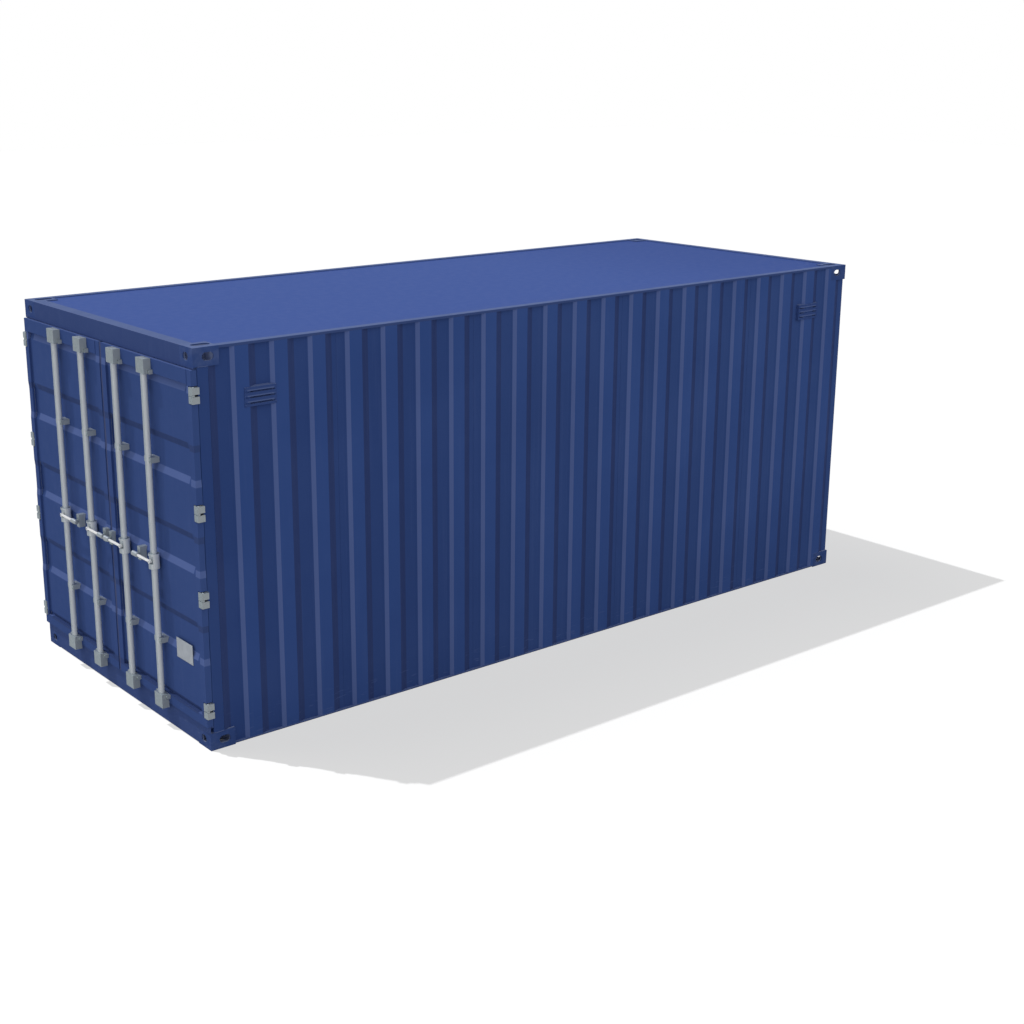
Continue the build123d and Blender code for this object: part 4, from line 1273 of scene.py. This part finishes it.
@dataclass
class LockGear:
    """One lock bar with its hub, handle, grip and bolt heads."""

    side: Side
    place: BarPlace
    handle_x: float = DOOR_X - 0.0765
    handle_z: float = 1.139
    eye_radius: float = 0.013
    eye_half: float = 0.009
    rod_radius: float = 0.009
    grip_radius: float = 0.016
    grip_start: float = 0.166
    grip_end: float = 0.238
    grip_roundings: Pair = (0.003, 0.005)
    rod_in_grip: float = 0.004
    rounding: float = 0.001
    bore: float = 0.0071
    bar_edge: float = 0.0015
    foot_heights: Pair = (0.217, 2.377)
    foot_face: float = LEAF_FACE - 0.024
    foot_half: float = 0.064
    foot_bolt: Pair = (0.0065, 0.004)
    bracket_heights: Pair = (0.603, 1.808)
    bracket_face: float = DOOR_X - 0.052
    rivet_half: float = 0.032
    rivet: Pair = (0.0075, 0.0045)

    @property
    def y(self) -> float:
        """The bar's place across the doors."""
        return self.side.value * self.place.value

    def build(self) -> None:
        """Make the bar, its handle and the bolts of its fittings."""
        word = f"{self.side.word}_{self.place.word}"
        node, name, body = f"{word}_lock_bar", f"{word}_turned_bar", f"{word}_bar"
        softened(node, name, body, "bar", self.bar_edge, 1)
        self.build_handle(word)
        self.build_bolts(word)

    def build_handle(self, word: str) -> None:
        """Make the handle's eye, rod and grip.

        Args:
            word: The handle's name.
        """
        toward = (0.0, -float(self.side.value), 0.0)
        middle = (self.handle_x, self.y, self.handle_z)
        rod = Surface()
        e, h, bore, rounding = self.eye_radius, self.eye_half, self.bore, self.rounding
        ring = [(bore, -h), (e - rounding, -h), (e, rounding - h), (e, h - rounding), (e - rounding, h)]
        rod.add(lathe([*ring, (bore, h), (bore, -h)], middle, FORWARD, 28))
        r, start, end = self.rod_radius, self.grip_start, self.grip_end
        near, far = bore + rounding, start + self.rod_in_grip
        rod.add(lathe([(0.0, near), (r, near), (r, far), (0.0, far)], middle, toward, 20))
        piece = rod.piece(f"{word}_handle_rod", f"{word}_handle", "zinc_handle", "handle")
        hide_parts(f"{word}_handle")
        g, (near, far) = self.grip_radius, self.grip_roundings
        sleeve = [(g - near, start), (g, start + near), (g, end - far), (g - far, end)]
        grip = Surface()
        grip.add(lathe([(0.0, start), *sleeve, (0.0, end)], middle, toward, 24))
        grip.piece(f"{word}_handle_grip", f"{word}_handle", "zinc_handle", "grip")

    def build_bolts(self, word: str) -> None:
        """Set bolt heads on the end housings' feet and rivets on the brackets.

        Args:
            word: The bar's name.
        """
        heads = Surface()
        for heights, x, half, head in (
            (self.foot_heights, self.foot_face, self.foot_half, self.foot_bolt),
            (self.bracket_heights, self.bracket_face, self.rivet_half, self.rivet),
        ):
            for z in heights:
                for across in (-half, half):
                    heads.add(dome((x, self.y + across, z), FORWARD, *head))
        heads.piece(f"{word}_bolt_heads", f"{self.side.word}_door", "zinc_fittings", "fitting")


@dataclass
class BlankPlate:
    """The bare data plate on the right leaf, with nothing written on it."""

    face_x: float = DOOR_X - 0.007
    outer: float = 0.172
    width: float = 0.210
    bottom: float = 0.529
    height: float = 0.134
    cover: float = 0.0005
    bead: float = 0.0006
    bead_inset: float = 0.004
    bead_spread: float = 0.0018
    buckle: float = 0.0003
    tuck: float = 0.0029
    flat_inset: float = 0.014
    rivet: Pair = (0.0045, 0.0022)

    def build(self) -> None:
        """Press a thin cover with a rolled rim over the plate and rivet its corners.

        The cover's height over the plate is half a millimetre, plus a bead round it that
        is a bell curve of the distance to the rim, plus a buckle of 0.3 mm that is one
        arch of a sine across and up. It falls behind the plate's face at the rim.
        """
        edge, inset = np.array([0.0, 0.0005, 0.002, 0.004, 0.006, 0.009]), self.flat_inset
        u, v = (
            np.concatenate([edge, np.linspace(inset, size - inset, 9), size - edge[::-1]])
            for size in (self.width, self.height)
        )
        rim = np.minimum(np.minimum(u, self.width - u)[None, :], np.minimum(v, self.height - v)[:, None])
        arch = np.outer(np.sin(math.pi * v / self.height), np.sin(math.pi * u / self.width))
        bell = np.exp(-(((rim - self.bead_inset) / self.bead_spread) ** 2))
        lift = self.cover + self.bead * bell + self.buckle * arch
        lift = np.where(rim < edge[1] / 2, -self.tuck, lift)
        grid = np.empty((len(v), len(u), 3))
        grid[:, :, 0] = self.face_x - lift
        grid[:, :, 1] = -(SIDE_Y - self.outer - u)[None, :]
        grid[:, :, 2] = self.bottom + v[:, None]
        plate = Surface()
        plate.add(grid, close_columns=False)
        for across in (inset, self.width - inset):
            for up in (inset, self.height - inset):
                place = (self.face_x - self.cover, -(SIDE_Y - self.outer - across), self.bottom + up)
                plate.add(dome(place, FORWARD, *self.rivet))
        plate.piece("blank_data_plate", "right_door", "zinc_fittings", "plate", 50.0)


@dataclass
class Cargo:
    """The plywood floor and the channels under it."""

    def build(self) -> None:
        """Dress the floor and the cross members."""
        dress("plywood_floor", "plywood")
        dress("cross_members", "underframe")


@dataclass
class Studio:
    """The white floor, the soft sky, the sun and the camera."""

    sun_path: Triple = (0.804, -1.234, -2.591)
    sun_share: float = 0.30
    sun_width: float = 0.6
    sky_share: float = 0.66
    floor_half: float = 60.0
    floor_points: int = 5
    floor_glow: float = 0.655
    floor_answer: float = 0.10
    floor_cone: float = 0.2
    floor_bounce: float = 0.55
    # Painted shadow under the container: the glow there, and how far inside the outer planes it starts and is
    # full
    under_glow: float = 0.06
    under_reach: Pair = (0.02, 0.09)
    camera_place: Triple = (-7.325469, -9.239834, 4.256685)
    camera_path: Triple = (0.5985899, 0.75467227, -0.26862594)
    sensor: float = 36.0
    lens: float = 54.117
    sees_to: float = 200.0
    shift: Pair = (0.04446, -0.02706)

    def choose(self, nodes: Recipe, lighting: Any, seen: Any) -> Any:
        """Show one shader to the rays that see the background, and light the object by another.

        Args:
            nodes: The material's recipe.
            lighting: The shader that lights the object.
            seen: The shader that camera, glossy and transmitted rays see.

        Returns:
            The chosen shader's socket.
        """
        sees, *others = (
            nodes.add("LightPath", (), f"Is {ray} Ray") for ray in ("Camera", "Glossy", "Transmission")
        )
        for other in others:
            sees = nodes.add("Math", (sees, other), operation="MAXIMUM")
        return nodes.add("MixShader", (sees, lighting, seen))

    def build_sky(self) -> None:
        """Make a world that is white to the eye and softer as a light."""
        world = bpy.data.worlds.new("studio_sky")
        world.use_nodes = True
        nodes = Recipe(world.node_tree)
        light = nodes.add("Background", {"Color": WHITE, "Strength": self.sky_share})
        white = nodes.add("Background", {"Color": WHITE, "Strength": 1.0})
        nodes.add("OutputWorld", {"Surface": self.choose(nodes, light, white)})
        bpy.context.scene.world = world

    def build_floor(self) -> None:
        """Make a floor that is white where the sun falls and keeps the shadow.

        What the eye sees answers only light from a narrow cone round the sun, so that the
        shadow is one even grey, and a painted shadow darkens it where the container stands on
        it. What lights the object is a plain matt white.
        """
        material = bpy.data.materials.new("studio_floor_white")
        material.use_nodes = True
        nodes = Recipe(material.node_tree)
        plain = nodes.add("BsdfDiffuse", {"Color": (*[self.floor_bounce] * 3, 1)})
        toward = nodes.add("CombineXYZ", -Vector(self.sun_path).normalized())
        toon = {"Color": (*[self.floor_answer] * 3, 1), "Size": self.floor_cone, "Normal": toward}
        # Painted shadow: the glow drops inside the container's footprint
        under: Any = 1.0
        for axis, edge in (("X", FRONT_X), ("Y", SIDE_Y)):
            out = nodes.add("Math", (nodes.add("SeparateXYZ", (nodes.where,), axis),), operation="ABSOLUTE")
            inside = nodes.add("MapRange", (out, *(edge - reach for reach in self.under_reach)))
            under = nodes.add("Math", (under, inside), operation="MULTIPLY")
        strength = nodes.add("MapRange", (under, 0.0, 1.0, self.floor_glow, self.under_glow))
        glow = nodes.add("Emission", {"Color": WHITE, "Strength": strength})
        shown = nodes.add("AddShader", (nodes.add("BsdfToon", toon), glow))
        nodes.add("OutputMaterial", {"Surface": self.choose(nodes, plain, shown)})
        spread = np.linspace(-self.floor_half, self.floor_half, self.floor_points)
        level = np.zeros((self.floor_points, self.floor_points))
        grid = np.stack([*np.meshgrid(spread, spread, indexing="ij"), level], axis=-1)
        plane = Surface()
        plane.add(grid, close_columns=False)
        mesh = plane.mesh("studio_floor")
        mesh.materials.append(material)
        floor = stand("studio_floor", mesh)

    def build_sun(self) -> None:
        """Hang the one lamp that throws the shadow."""
        lamp = bpy.data.lights.new("sun", "SUN")
        lamp.energy = math.pi * self.sun_share
        lamp.angle = math.radians(self.sun_width)
        stand("sun", lamp).rotation_euler = Vector(self.sun_path).to_track_quat("-Z", "Y").to_euler()

    def build_camera(self) -> None:
        """Stand the camera where the photograph was taken from."""
        data = bpy.data.cameras.new("camera")
        data.sensor_width = self.sensor
        data.lens = self.lens
        data.shift_x, data.shift_y = self.shift
        data.clip_end = self.sees_to
        camera = stand("camera", data)
        camera.location = self.camera_place
        camera.rotation_euler = Vector(self.camera_path).to_track_quat("-Z", "Y").to_euler()
        bpy.context.scene.camera = camera

    def build(self) -> None:
        """Build the whole studio."""
        self.build_sky()
        self.build_floor()
        self.build_sun()
        self.build_camera()
        bpy.context.scene.view_settings.view_transform = "Standard"


def write_sizes() -> None:
    """Hold a helper that turns a box's two corners into lists; nothing is written."""

    def plain(box: Any) -> list[list[float]]:
        """Two corners as lists."""
        return [[float(v) for v in corner] for corner in box]


def main() -> None:
    """Build the container's sub-assemblies and the studio in order."""
    logging.basicConfig(level=logging.INFO, format="%(name)s: %(message)s")
    CornerCastings().build()
    EndFrames().build()
    SideWalls().build()
    FrontWall().build()
    Roof().build()
    Ventilators().build()
    Cargo().build()
    for side in Side:
        Hinges(side).build()
        DoorLeaf(side).build()
        for place in BarPlace:
            LockGear(side, place).build()
    BlankPlate().build()
    Studio().build()
    write_sizes()


if __name__ == "__main__":
    main()
